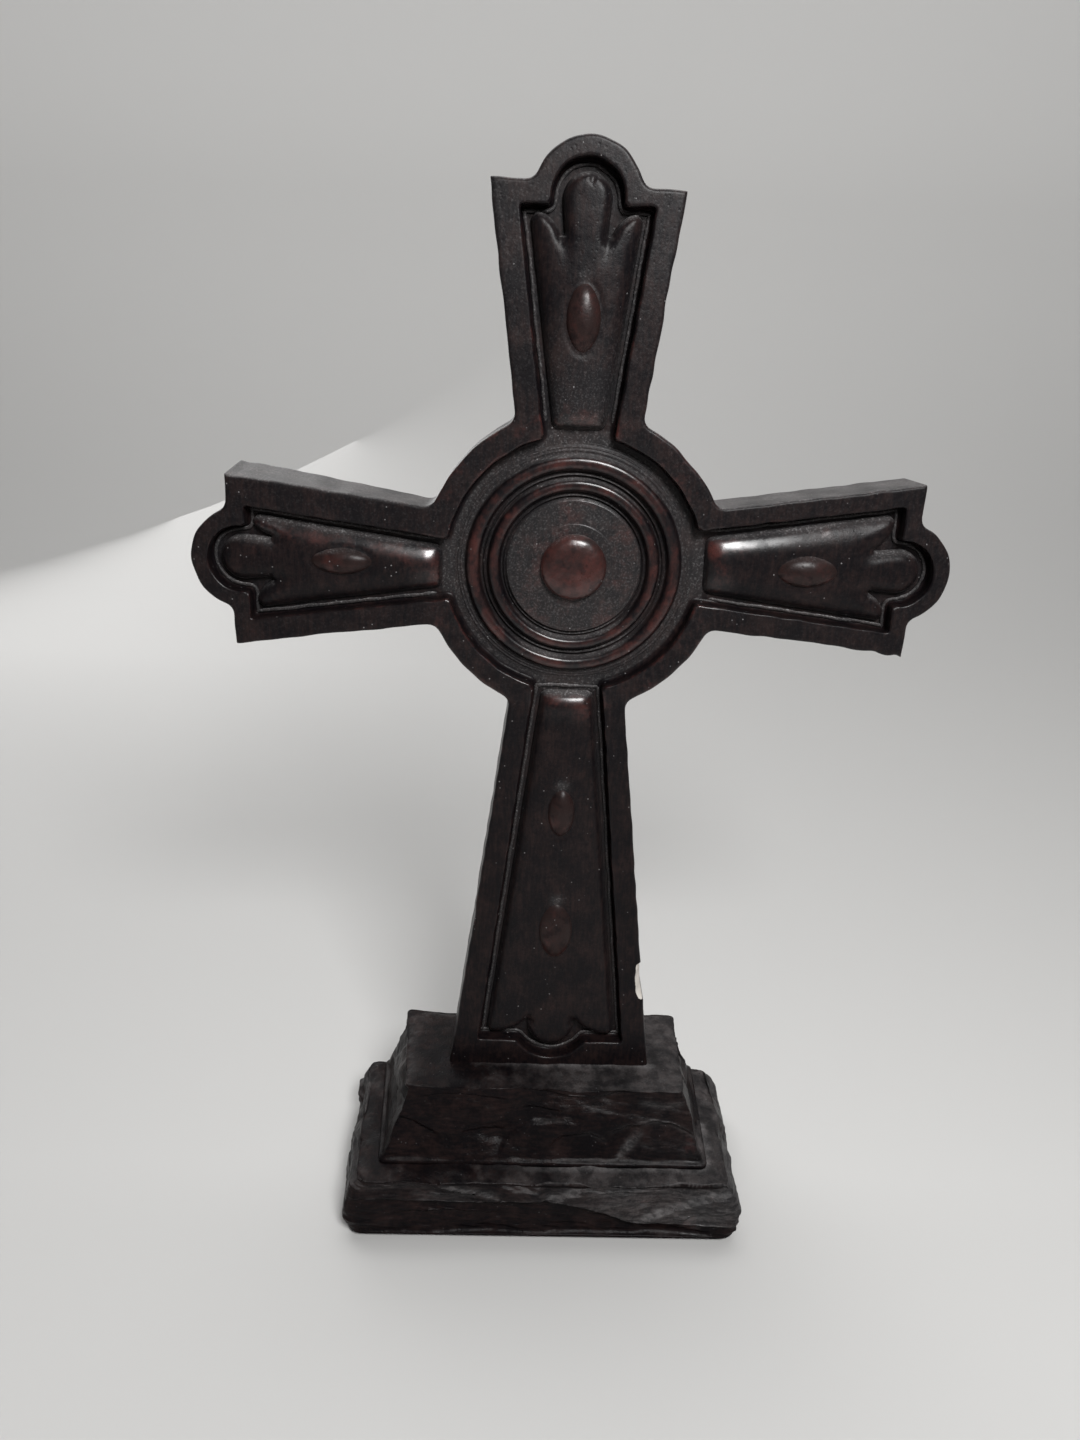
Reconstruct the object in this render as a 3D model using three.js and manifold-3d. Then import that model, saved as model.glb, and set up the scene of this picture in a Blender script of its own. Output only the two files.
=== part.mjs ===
// A standing cross, cast in resin with a dark mahogany finish.
// A thick slab with three flared arms and a longer post carries raised panels, oval studs and a
// round medallion. It stands on a plinth of two tiers that are cut like rock.
// Lengths are millimetres. +Z is up, the front faces -Y, and the origin is on the table, in the
// middle of the space that the cross takes.

import * as THREE from 'three';
import { mergeVertices } from 'three/addons/utils/BufferGeometryUtils.js';
import Module from 'manifold-3d';

const wasm = await Module();
wasm.setup();

// Slab and ring
const DISC_HEIGHT = 140.2; // centre of the ring above the table
const SLAB_THICKNESS = 12.5;
const SLAB_SETBACK = 5.6; // the slab stands this far behind the middle of the plinth
const RING_RADIUS = 28;
const RING_RIM = 4.4;
const RECESS_DEPTH = 3.2; // how far the windows and the well lie below the rim
const ROOT_FILLET = 1.8; // where the limbs run into the ring, and the lobes into the arm ends
const CORNER_ROUND = 0.8;

// Short arms
const ARM_REACH = 62.8; // from the ring's centre to the arm's end face
const ARM_ROOT_WIDTH = 23.4; // at the ring's radius
const ARM_END_WIDTH = 32.7;
const ARM_RIM = 4.75;
const LEFT_UPPER_RIM = 5.4; // the left arm's rim is wider along its upper side
const RIGHT_UPPER_RIM = 3.8; // and the right arm's is narrower there
const LEFT_UPPER_TRIM = 0.9; // the left arm is a little slimmer than the other two
const LEFT_LOWER_TRIM = 0.25;
const ARM_END_RIM = 3.4;
const LOBE_RADIUS = 9.3;
const LOBE_INSET = 2.3; // the lobe's centre lies this far inside the end face
const LOBE_RIM = 3.3;

// Post
const POST_ROOT_WIDTH = 23.2; // at the ring's radius
const POST_FOOT_WIDTH = 44;
const POST_RIM = 4.4;
const POST_FOOT_RIM = 5.6;
const POST_END_RIM = 5.7;
const POST_LOBE_RADIUS = 8.2;
const POST_LOBE_RIM = 1.4;

// Hand-made leans in degrees, turned about the ring's centre
const TOP_LEAN = 0.1;
const LEFT_LEAN = -0.1;
const RIGHT_LEAN = 0.6;
const POST_LEAN = -0.5;
const TOP_END_SLANT = -2.2; // the top arm's end face is cut a little out of square

// Panels in the windows
const PANEL_GAP = 1.4; // between a panel and the window's sides
const PANEL_END_GAP = 1;
const PANEL_INNER_GAP = 0.5; // from the well's edge to the panels' inner ends
const PANEL_EDGE = 0.9; // height of a panel's upright edge
const PANEL_CROWN = 1.9; // rise from the edge to the crest
const PANEL_END_ROUND = 3;
const PANEL_CORNER = 1.6;
const PANEL_SEAT = 1; // depth of the pocket that a panel is bedded in
const PETAL_SLOPE = 1.7; // a petal's tip leans in by this much
const PETAL_ROUND = 0.8;
const NOTCH_DEPTH = 5;
const SIDE_NOTCH_DEPTH = 3; // the left and right arms have shallower notches
const NOTCH_OFFSET = 0.4; // from the tongue's side to the bottom of a notch
const TONGUE_WIDTH = 7.5;
const TONGUE_GAP = 2.9; // between the tongue's tip and the window's lobe
const POST_TONGUE_WIDTH = 10.6;
const POST_TONGUE_GAP = 2.4;

// Oval studs; their places are shares of the panel's length, from its inner end
const STUD_LENGTH = 11.6;
const STUD_WIDTH = 6.1;
const STUD_PLACE = 0.45;
const LEFT_STUD_WIDTH = 5.2;
const RIGHT_STUD_PLACE = 0.468;
const UPPER_STUD_LENGTH = 10.9;
const UPPER_STUD_WIDTH = 5.8;
const UPPER_STUD_PLACE = 0.31;
const LOWER_STUD_LENGTH = 13.7;
const LOWER_STUD_WIDTH = 7.4;
const LOWER_STUD_PLACE = 0.64;
const STUD_GROOVE = 0.75;
const STUD_SOCKET_DEPTH = 1.1;
const STUD_SHOULDER = 0.9;
const STUD_DOME = 1.3;
const STUD_POINT = 0.14; // how much an oval's sides are drawn in towards its points

// Medallion and boss
const MEDALLION_RADIUS = 21.9;
const MEDALLION_SEAT = 2.2; // depth of its pocket below the well's floor
const FINE_RIDGE_RADII = [21.4, 20.5];
const FINE_RIDGE_HEIGHT = 0.5;
const FINE_RIDGE_WIDTH = 0.5;
const OUTER_BEAD_RADIUS = 18.6;
const OUTER_BEAD_WIDTH = 3.2;
const OUTER_BEAD_HEIGHT = 1.9;
const MIDDLE_RIDGE_RADIUS = 16.4;
const MIDDLE_RIDGE_HEIGHT = 1;
const INNER_BEAD_RADIUS = 14.7;
const INNER_BEAD_WIDTH = 2.7;
const INNER_BEAD_HEIGHT = 1.8;
const DISH_RADIUS = 12.4;
const DISH_EDGE_HEIGHT = 1.1;
const DISH_CENTRE_HEIGHT = 1.6;
const GROOVE_HEIGHT = 0.5; // level of the grooves between the beads
const BEAD_FOOT = 0.2; // the outer bead starts lower than the grooves
const BOSS_RADIUS = 6.2;
const BOSS_SEAT = 0.9;
const BOSS_SHOULDER = 0.8;
const BOSS_DOME = 2.2;

// Plinth
const PLINTH_SHIFT = -1.9; // the plinth stands a little to the left of the ring's centre
const LOWER_TIER_HEIGHT = 13.3;
const LOWER_TIER_WIDTH = 86.6;
const LOWER_TIER_DEPTH = 41.4;
const LOWER_SIDE_SLOPE = 3.7;
const LOWER_FRONT_SLOPE = 1.9;
const LOWER_BACK_SLOPE = 1.2;
const LOWER_CORNER = 4.5;
const UPPER_TIER_HEIGHT = 15.9;
const UPPER_TIER_WIDTH = 70.6;
const UPPER_SIDE_SLOPE = 5.4;
const UPPER_FRONT_SLOPE = 5;
const UPPER_BACK_SLOPE = 1.2;
const UPPER_CORNER = 1.6;
const FRONT_STEP = 7.3; // from the lower tier's front to the upper tier's foot
const BACK_STEP = 1.5;
const LEFT_FLARE = 2.6; // both tiers are wider at the back, by this much on the left
const RIGHT_FLARE = 1.3;
const ROCK_RIPPLE = 0.4;
const RIPPLE_PITCH = 1.7; // in radians, from one point of a ring to the next

// Hidden joints
const TENON_WIDTH = 28;
const TENON_THICKNESS = 9;
const TENON_LENGTH = 10;
const INSERT_RADIUS = 3;
const INSERT_LENGTH = 9;
const INSERT_COLLAR = 1.2; // length of the collar at each end
const INSERT_COLLAR_HEIGHT = 0.3;
const BOLT_RADIUS = 2;
const BOLT_HEAD_FLATS = 7;
const BOLT_HEAD_HEIGHT = 2.8;
const BOLT_END_GAP = 1; // from the bolt's tip to the end of the insert
const WASHER_RADIUS = 5;
const WASHER_THICKNESS = 1;
const COUNTERBORE_DEPTH = 5;
const COUNTERBORE_CLEARANCE = 0.8;
const TIER_PIN_RADIUS = 2;
const TIER_PIN_LENGTH = 14;
const TIER_PIN_INSET = 11.3; // from the ends of the upper tier's foot to its pins
const FELT_THICKNESS = 1;
const FELT_INSET = 3.5;

// Clearances
const BOND = 0.1; // glue line under and around what is bedded or seated
const CLEARANCE = 0.3; // round what slides into a pocket, a hole or a mortise
const OVERCUT = 1; // a cut starts this far outside the piece

// Fineness of round stretches
const ARC_STEP = Math.PI / 14;
const ARC_CHORD = 3;
const ROUND_STEPS = 6;
const TURNED_SIDES = 48;
const OVAL_SIDES = 28;
const HOLE_SIDES = 24;

// Sizes that follow from the ones above
const wellRadius = RING_RADIUS - RING_RIM;
const floorLevel = SLAB_THICKNESS - RECESS_DEPTH; // heights in the slab are counted from its back
const panelCrest = PANEL_EDGE + PANEL_CROWN;
const plinthTop = FELT_THICKNESS + LOWER_TIER_HEIGHT + UPPER_TIER_HEIGHT;
const postDrop = DISC_HEIGHT - plinthTop - BOND;
const tenonX = postDrop * Math.tan(THREE.MathUtils.degToRad(POST_LEAN));

const v2 = (x, y) => new THREE.Vector2(x, y);
const v3 = (x, y, z) => new THREE.Vector3(x, y, z);
const { lerp, degToRad } = THREE.MathUtils;

// Plane curves

function arc(centre, radius, from, to) {
  const span = Math.abs(to - from);
  const steps = Math.max(2, Math.ceil(span / ARC_STEP), Math.ceil(span * radius / ARC_CHORD));
  return Array.from({ length: steps + 1 }, (_, i) => {
    const angle = lerp(from, to, i / steps);
    return v2(centre.x + radius * Math.cos(angle), centre.y + radius * Math.sin(angle));
  });
}

// The shorter arc about a centre from one point to another.
function arcBetween(centre, start, end) {
  const from = start.clone().sub(centre).angle();
  let to = end.clone().sub(centre).angle();
  if (to - from > Math.PI) to -= 2 * Math.PI;
  if (from - to > Math.PI) to += 2 * Math.PI;
  return arc(centre, start.distanceTo(centre), from, to);
}

function roundCorner(before, corner, after, radius) {
  const back = before.clone().sub(corner).normalize();
  const on = after.clone().sub(corner).normalize();
  const half = Math.acos(THREE.MathUtils.clamp(back.dot(on), -1, 1)) / 2;
  const centre = back.clone().add(on).normalize().multiplyScalar(radius / Math.sin(half)).add(corner);
  const setback = radius / Math.tan(half);
  const start = back.multiplyScalar(setback).add(corner);
  const end = on.multiplyScalar(setback).add(corner);
  return arcBetween(centre, start, end);
}

// The hollow corner between a circle and a straight edge that stands out of it.
// The edge passes through a point and runs outwards along a direction; side is 1 or -1.
function hollowCorner(circleCentre, circleRadius, point, direction, side, fillet) {
  const along = direction.clone().normalize();
  const normal = v2(-along.y, along.x).multiplyScalar(side);
  const away = point.clone().sub(circleCentre).dot(normal) + fillet;
  const reach = Math.sqrt((circleRadius + fillet) ** 2 - away ** 2);
  const centre = circleCentre.clone().addScaledVector(normal, away).addScaledVector(along, reach);
  const onCircle = circleCentre.clone().lerp(centre, circleRadius / (circleRadius + fillet));
  const onEdge = centre.clone().addScaledVector(normal, -fillet);
  return arcBetween(centre, onCircle, onEdge);
}

// Drops points that lie on the one before them.
function tidy(points) {
  const apart = 0.002;
  return points.filter((p, i) => p.distanceTo(points.at(i - 1)) > apart);
}

// A whole outline, anticlockwise, from a function that gives one side of it, outwards.
const bothSides = (sideOf) => [...sideOf(-1), ...sideOf(1).reverse()];
const turned = (points, angle) => points.map((p) => p.clone().rotateAround(v2(0, 0), angle));

// An anticlockwise outline grown by a margin on every side.
function grown(outline, margin) {
  const points = tidy(outline);
  const normal = (a, b) => v2(b.y - a.y, a.x - b.x).normalize();
  return points.map((p, i) => {
    const before = normal(points.at(i - 1), p);
    const after = normal(p, points[(i + 1) % points.length]);
    const stretch = margin / (1 + before.dot(after));
    return p.clone().addScaledVector(before.add(after), stretch);
  });
}

// Solids

function solid(geometry) {
  const bare = geometry.clone();
  bare.deleteAttribute('normal');
  bare.deleteAttribute('uv');
  const merged = mergeVertices(bare);
  const vertProperties = new Float32Array(merged.attributes.position.array);
  const triVerts = new Uint32Array(merged.index.array);
  return new wasm.Manifold(new wasm.Mesh({ numProp: 3, vertProperties, triVerts }));
}

function geometryOf(manifold) {
  const { vertProperties, triVerts } = manifold.getMesh();
  const geometry = new THREE.BufferGeometry();
  geometry.setAttribute('position', new THREE.BufferAttribute(vertProperties, 3));
  geometry.setIndex(new THREE.BufferAttribute(triVerts, 1));
  return geometry;
}

function plate(points, bottom, top) {
  const shape = new THREE.Shape(tidy(points));
  const geometry = new THREE.ExtrudeGeometry(shape, { depth: top - bottom, bevelEnabled: false });
  return geometry.translate(0, 0, bottom);
}

// A closed body through a row of rings that have equally many points, flat at both ends.
function loft(rings) {
  const count = rings[0].length;
  const positions = rings.flat();
  const index = [];
  for (let r = 0; r + 1 < rings.length; r++) {
    for (let i = 0; i < count; i++) {
      const a = r * count + i;
      const b = r * count + (i + 1) % count;
      index.push(a, b, b + count, a, b + count, a + count);
    }
  }
  for (const [ring, offset, flip] of [[rings[0], 0, true], [rings.at(-1), positions.length - count, false]]) {
    const hub = positions.length;
    positions.push(ring.reduce((sum, p) => sum.add(p), v3(0, 0, 0)).divideScalar(count));
    for (let i = 0; i < count; i++) {
      const a = offset + i;
      const b = offset + (i + 1) % count;
      index.push(hub, flip ? b : a, flip ? a : b);
    }
  }
  const geometry = new THREE.BufferGeometry().setFromPoints(positions);
  geometry.setIndex(index);
  return geometry;
}

// A turned body: its profile is radius and height, and its axis stands up.
function lathe(profile, sides = TURNED_SIDES) {
  return new THREE.LatheGeometry(profile, sides).rotateX(Math.PI / 2);
}

function rod(radius, bottom, top, x, y, sides = HOLE_SIDES) {
  const geometry = new THREE.CylinderGeometry(radius, radius, top - bottom, sides);
  return geometry.rotateX(Math.PI / 2).translate(x, y, (top + bottom) / 2);
}

// Limbs: u runs outwards from the ring's centre and v across the limb. Side 1 is on the left of
// someone who looks outwards along the limb, and side -1 on the right.

const armHalf = (u) => lerp(ARM_ROOT_WIDTH, ARM_END_WIDTH, (u - RING_RADIUS) / (ARM_REACH - RING_RADIUS)) / 2;
const postShare = (u) => (u - RING_RADIUS) / (postDrop - RING_RADIUS);
const postHalf = (u) => lerp(POST_ROOT_WIDTH, POST_FOOT_WIDTH, postShare(u)) / 2;
const armLobe = v2(ARM_REACH - LOBE_INSET, 0);

const plainArm = { slant: 0, notch: SIDE_NOTCH_DEPTH, trims: [0, 0], rims: [ARM_RIM, ARM_RIM] };

// Trims and rims are given for side 1 first, then for side -1.
function arm(lean, { slant, notch, trims, rims }) {
  const edge = (side, u) => armHalf(u) - trims[side > 0 ? 0 : 1];
  return {
    angle: degToRad(lean),
    slant: degToRad(slant),
    edge,
    window: {
      end: ARM_REACH - ARM_END_RIM,
      half: (side, u) => edge(side, u) - rims[side > 0 ? 0 : 1],
      lobeCentre: armLobe,
      lobeRadius: LOBE_RADIUS - LOBE_RIM,
      tongueHalf: TONGUE_WIDTH / 2,
      tongueGap: TONGUE_GAP,
      notch,
    },
  };
}

const post = {
  angle: degToRad(270 + POST_LEAN),
  window: {
    end: postDrop - POST_END_RIM,
    half: (side, u) => postHalf(u) - lerp(POST_RIM, POST_FOOT_RIM, postShare(u)),
    lobeCentre: v2(postDrop - POST_LOBE_RIM - POST_LOBE_RADIUS, 0),
    lobeRadius: POST_LOBE_RADIUS,
    tongueHalf: POST_TONGUE_WIDTH / 2,
    tongueGap: POST_TONGUE_GAP,
    notch: NOTCH_DEPTH,
  },
};

const rightArm = { ...plainArm, rims: [RIGHT_UPPER_RIM, ARM_RIM] };
const topArm = { ...plainArm, slant: TOP_END_SLANT, notch: NOTCH_DEPTH };
const leftArm = {
  ...plainArm,
  trims: [LEFT_LOWER_TRIM, LEFT_UPPER_TRIM],
  rims: [ARM_RIM, LEFT_UPPER_RIM],
};
const limbs = {
  right: arm(RIGHT_LEAN, rightArm),
  top: arm(90 + TOP_LEAN, topArm),
  left: arm(180 + LEFT_LEAN, leftArm),
  post,
};

// One side of a short arm's outline, from the ring to the tip of the lobe.
function armSide({ slant, edge }, side) {
  const root = v2(RING_RADIUS, side * edge(side, RING_RADIUS));
  const along = v2(ARM_REACH, side * edge(side, ARM_REACH)).sub(root);
  const middle = v2(ARM_REACH, 0);
  const across = v2(0, side).rotateAround(v2(0, 0), slant);
  const corner = middle.clone().addScaledVector(across, edge(side, ARM_REACH) / Math.cos(slant));
  const hollow = hollowCorner(armLobe, LOBE_RADIUS, middle, across, -side, ROOT_FILLET);
  const tip = armLobe.clone().add(v2(LOBE_RADIUS, 0));
  return [
    ...hollowCorner(v2(0, 0), RING_RADIUS, root, along, side, ROOT_FILLET),
    ...roundCorner(root, corner, middle, CORNER_ROUND),
    ...hollow.reverse(),
    ...arcBetween(armLobe, hollow.at(-1), tip),
  ];
}

// The post's foot is level although the post leans.
function postSide(side) {
  const lean = degToRad(POST_LEAN);
  const root = v2(RING_RADIUS, side * postHalf(RING_RADIUS));
  const half = side * postHalf(postDrop);
  const foot = v2((postDrop + half * Math.sin(lean)) / Math.cos(lean), half);
  return [...hollowCorner(v2(0, 0), RING_RADIUS, root, foot.clone().sub(root), side, ROOT_FILLET), foot];
}

// The four limbs, anticlockwise, with the ring's arcs between them.
function slabOutline() {
  const outlines = Object.values(limbs).map((limb) => {
    const sideOf = limb === post ? postSide : (side) => armSide(limb, side);
    return turned(bothSides(sideOf), limb.angle);
  });
  return outlines.flatMap((outline, i) => {
    const next = outlines[(i + 1) % outlines.length];
    return [...outline, ...arcBetween(v2(0, 0), outline.at(-1), next[0])];
  });
}

// The outline starts well inside the ring, so that the window opens into the well.
function windowOutline({ end, half, lobeRadius, lobeCentre }) {
  const inner = wellRadius / 2;
  const start = Math.acos(THREE.MathUtils.clamp((end - lobeCentre.x) / lobeRadius, -1, 1));
  return bothSides((side) => {
    const root = v2(inner, side * half(side, inner));
    const corner = v2(end, side * half(side, end));
    return [
      root,
      ...roundCorner(root, corner, v2(end, 0), CORNER_ROUND / 2),
      ...arc(lobeCentre, lobeRadius, side * start, 0),
    ];
  });
}

function panelSizes(window) {
  const start = wellRadius + PANEL_INNER_GAP;
  const end = window.end - PANEL_END_GAP;
  const half = (side, u) => window.half(side, u) - PANEL_GAP;
  const tip = window.lobeCentre.x + window.lobeRadius - window.tongueGap;
  return { start, end, half, tip, tongueHalf: window.tongueHalf, notchFoot: end - window.notch };
}

function panelOutline(window) {
  const { start, end, half, tip, tongueHalf, notchFoot } = panelSizes(window);
  return bothSides((side) => {
    const inner = v2(start, side * half(side, start));
    const shoulder = v2(end - PETAL_SLOPE, side * half(side, end - PETAL_SLOPE));
    const petal = v2(end, side * (half(side, end) - PETAL_SLOPE));
    const notch = v2(notchFoot, side * (tongueHalf + NOTCH_OFFSET));
    return [
      ...roundCorner(v2(start, 0), inner, shoulder, PANEL_CORNER),
      ...roundCorner(inner, shoulder, petal, PETAL_ROUND),
      ...roundCorner(shoulder, petal, notch, PETAL_ROUND),
      notch,
      ...arc(v2(tip - tongueHalf, 0), tongueHalf, side * Math.PI / 2, 0),
    ];
  });
}

// The barrel that gives a panel its crown, wider than the panel so that the outline trims it.
function barrel(window) {
  const { start, half, tip } = panelSizes(window);
  const roundSteps = [0, 0.08, 0.3, 0.6, 1];
  const acrossSteps = 10;
  const inner = roundSteps.map((s) => start + s * PANEL_END_ROUND);
  const outer = roundSteps.map((s) => tip - s * PANEL_END_ROUND).reverse();
  const across = Array.from({ length: acrossSteps + 1 }, (_, i) => 1 - 2 * i / acrossSteps);
  const rings = [...inner, ...outer].map((u) => {
    const fromEnd = Math.min(u - start, tip - u, PANEL_END_ROUND);
    const share = Math.sqrt(1 - (1 - fromEnd / PANEL_END_ROUND) ** 2);
    const left = half(1, u) + BOND;
    const right = -half(-1, u) - BOND;
    const place = (s) => lerp(right, left, (s + 1) / 2);
    const crown = across.map((s) => v3(u, place(s), PANEL_EDGE + PANEL_CROWN * share * (1 - s * s)));
    return [v3(u, right, -PANEL_SEAT + BOND), v3(u, left, -PANEL_SEAT + BOND), ...crown];
  });
  return loft(rings);
}

// Oval studs

function ovalOutline(length, width) {
  return Array.from({ length: OVAL_SIDES }, (_, i) => {
    const angle = 2 * Math.PI * i / OVAL_SIDES;
    const drawn = 1 - STUD_POINT * Math.cos(angle) ** 2;
    return v2(length / 2 * Math.cos(angle), width / 2 * Math.sin(angle) * drawn);
  });
}

function studGeometry({ length, width }) {
  const ring = (share, z) => ovalOutline(length, width).map((p) => v3(p.x * share, p.y * share, z));
  const domeSteps = [0, 0.3, 0.55, 0.75, 0.9];
  const dome = domeSteps.map((s) => ring(Math.sqrt(1 - s * s), STUD_SHOULDER + STUD_DOME * s));
  return loft([ring(1, 0), ...dome]);
}

const topStud = { length: STUD_LENGTH, width: STUD_WIDTH, place: STUD_PLACE };
const leftStud = { length: STUD_LENGTH, width: LEFT_STUD_WIDTH, place: STUD_PLACE };
const rightStud = { length: STUD_LENGTH, width: STUD_WIDTH, place: RIGHT_STUD_PLACE };
const upperStud = { length: UPPER_STUD_LENGTH, width: UPPER_STUD_WIDTH, place: UPPER_STUD_PLACE };
const lowerStud = { length: LOWER_STUD_LENGTH, width: LOWER_STUD_WIDTH, place: LOWER_STUD_PLACE };
const studLevel = floorLevel + panelCrest - STUD_SOCKET_DEPTH;

// A stud's place on its panel: along the limb, and in the middle across it.
function studPlace(window, stud) {
  const { start, tip, half } = panelSizes(window);
  const u = lerp(start, tip, stud.place);
  return v2(u, (half(1, u) - half(-1, u)) / 2);
}

// Cast parts

function crossBody() {
  const top = SLAB_THICKNESS + OVERCUT;
  const tenon = new THREE.BoxGeometry(TENON_WIDTH, TENON_LENGTH + OVERCUT, TENON_THICKNESS);
  tenon.translate(tenonX, -postDrop + (OVERCUT - TENON_LENGTH) / 2, SLAB_THICKNESS / 2);
  const boreRadius = INSERT_RADIUS + BOND;
  const bore = new THREE.CylinderGeometry(boreRadius, boreRadius, 2 * boreDepth, HOLE_SIDES);
  bore.translate(tenonX, -postDrop - TENON_LENGTH, SLAB_THICKNESS / 2);
  let body = solid(plate(slabOutline(), 0, SLAB_THICKNESS));
  body = body.add(solid(tenon)).subtract(solid(bore));
  body = body.subtract(solid(rod(wellRadius, floorLevel, top, 0, 0, 2 * TURNED_SIDES)));
  const pocket = floorLevel - MEDALLION_SEAT;
  body = body.subtract(solid(rod(MEDALLION_RADIUS + BOND, pocket, top, 0, 0, TURNED_SIDES)));
  for (const { angle, window } of Object.values(limbs)) {
    const sunk = plate(turned(windowOutline(window), angle), floorLevel, top);
    const bedOutline = turned(grown(panelOutline(window), CLEARANCE), angle);
    const bed = plate(bedOutline, floorLevel - PANEL_SEAT, top);
    body = body.subtract(solid(sunk)).subtract(solid(bed));
  }
  return geometryOf(body);
}

function panelGeometry(window, studs) {
  const outline = plate(panelOutline(window), -PANEL_SEAT, panelCrest + OVERCUT);
  let panel = solid(outline).intersect(solid(barrel(window)));
  for (const stud of studs) {
    const hole = ovalOutline(stud.length + 2 * STUD_GROOVE, stud.width + 2 * STUD_GROOVE);
    const socket = plate(hole, panelCrest - STUD_SOCKET_DEPTH, panelCrest + OVERCUT);
    const { x, y } = studPlace(window, stud);
    socket.translate(x, y, 0);
    panel = panel.subtract(solid(socket));
  }
  return geometryOf(panel);
}

// Half-round bead as radius and height, from its inner foot to its outer foot.
function bead(radius, width, height, foot) {
  return Array.from({ length: ROUND_STEPS + 1 }, (_, i) => {
    const angle = Math.PI * (1 - i / ROUND_STEPS);
    return v2(radius + width / 2 * Math.cos(angle), foot + (height - foot) * Math.sin(angle));
  });
}

function fineRidge(radius, height, foot) {
  const half = FINE_RIDGE_WIDTH / 2;
  return [v2(radius - half, foot), v2(radius, height), v2(radius + half, foot)];
}

function medallionGeometry() {
  const socket = BOSS_RADIUS + BOND;
  const profile = [
    v2(0, -MEDALLION_SEAT + BOND),
    v2(MEDALLION_RADIUS, -MEDALLION_SEAT + BOND),
    v2(MEDALLION_RADIUS, 0),
    ...FINE_RIDGE_RADII.flatMap((r) => fineRidge(r, FINE_RIDGE_HEIGHT, 0).reverse()),
    ...bead(OUTER_BEAD_RADIUS, OUTER_BEAD_WIDTH, OUTER_BEAD_HEIGHT, BEAD_FOOT).reverse(),
    ...fineRidge(MIDDLE_RIDGE_RADIUS, MIDDLE_RIDGE_HEIGHT, GROOVE_HEIGHT).reverse(),
    ...bead(INNER_BEAD_RADIUS, INNER_BEAD_WIDTH, INNER_BEAD_HEIGHT, GROOVE_HEIGHT).reverse(),
    v2(DISH_RADIUS + FINE_RIDGE_WIDTH, GROOVE_HEIGHT),
    v2(DISH_RADIUS, DISH_EDGE_HEIGHT),
    v2(socket, DISH_CENTRE_HEIGHT),
    v2(socket, DISH_CENTRE_HEIGHT - BOSS_SEAT),
    v2(0, DISH_CENTRE_HEIGHT - BOSS_SEAT),
  ];
  return lathe(profile);
}

function bossGeometry() {
  const dome = Array.from({ length: ROUND_STEPS + 1 }, (_, i) => {
    const angle = Math.PI / 2 * i / ROUND_STEPS;
    return v2(BOSS_RADIUS * Math.cos(angle), BOSS_SEAT + BOSS_SHOULDER + BOSS_DOME * Math.sin(angle));
  });
  return lathe([v2(0, BOND), v2(BOSS_RADIUS, BOND), ...dome]);
}

// Plinth tiers: rings of points at rising levels, each a rectangle with round corners

function tierRing({ half, front, back, corner }, z, level) {
  const corners = [
    v2(half, front),
    v2(half + RIGHT_FLARE, back),
    v2(-half - LEFT_FLARE, back),
    v2(-half, front),
  ];
  const sideSteps = [6, 10, 6, 14]; // facets along the right, the back, the left and the front
  const points = corners.flatMap((point, i) => {
    const after = corners[(i + 1) % 4];
    const bend = roundCorner(corners.at(i - 1), point, after, corner);
    const next = roundCorner(point, after, corners[(i + 2) % 4], corner)[0];
    const steps = sideSteps[i];
    const side = Array.from({ length: steps - 1 }, (_, k) => bend.at(-1).clone().lerp(next, (k + 1) / steps));
    return [bend[0], bend[Math.floor(bend.length / 2)], bend.at(-1), ...side];
  });
  const middle = v2(0, (front + back) / 2);
  return points.map((p, i) => {
    const ripple = ROCK_RIPPLE * level.ripple * (1 + Math.sin(i * RIPPLE_PITCH + level.phase)) / 2;
    const q = p.clone().sub(middle);
    q.setLength(q.length() - ripple).add(middle);
    return v3(q.x, q.y, z);
  });
}

// Each level: share of the tier's height, share of its slopes, how much the rock ripples.
const lowerLevels = [
  { up: 0, in: 0.75, ripple: 0.3, phase: 0 },
  { up: 0.12, in: 0.2, ripple: 0.5, phase: 0.6 },
  { up: 0.34, in: 0, ripple: 0.6, phase: 1.1 },
  { up: 0.5, in: 0.2, ripple: 0.8, phase: 2.1 },
  { up: 0.55, in: 0.7, ripple: 1, phase: 2.4 },
  { up: 0.72, in: 0.45, ripple: 1, phase: 4 },
  { up: 0.88, in: 0.7, ripple: 1, phase: 5.2 },
  { up: 1, in: 1, ripple: 0.5, phase: 5.6 },
];
const upperLevels = [
  { up: 0, in: 0, ripple: 0.4, phase: 0.4 },
  { up: 0.3, in: 0.36, ripple: 1, phase: 1.9 },
  { up: 0.52, in: 0.48, ripple: 1, phase: 3.1 },
  { up: 0.8, in: 0.84, ripple: 1, phase: 4.4 },
  { up: 1, in: 1, ripple: 0.8, phase: 5.3 },
];

function tier(levels, height, sizeAt) {
  return loft(levels.map((level) => tierRing(sizeAt(level.in), height * level.up, level)));
}

const lowerSize = (inset) => ({
  half: LOWER_TIER_WIDTH / 2 - inset * LOWER_SIDE_SLOPE,
  front: -LOWER_TIER_DEPTH / 2 + inset * LOWER_FRONT_SLOPE,
  back: LOWER_TIER_DEPTH / 2 - inset * LOWER_BACK_SLOPE,
  corner: LOWER_CORNER,
});
const upperSize = (inset) => ({
  half: UPPER_TIER_WIDTH / 2 - inset * UPPER_SIDE_SLOPE,
  front: -LOWER_TIER_DEPTH / 2 + FRONT_STEP + inset * UPPER_FRONT_SLOPE,
  back: LOWER_TIER_DEPTH / 2 - BACK_STEP - inset * UPPER_BACK_SLOPE,
  corner: UPPER_CORNER,
});

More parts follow.
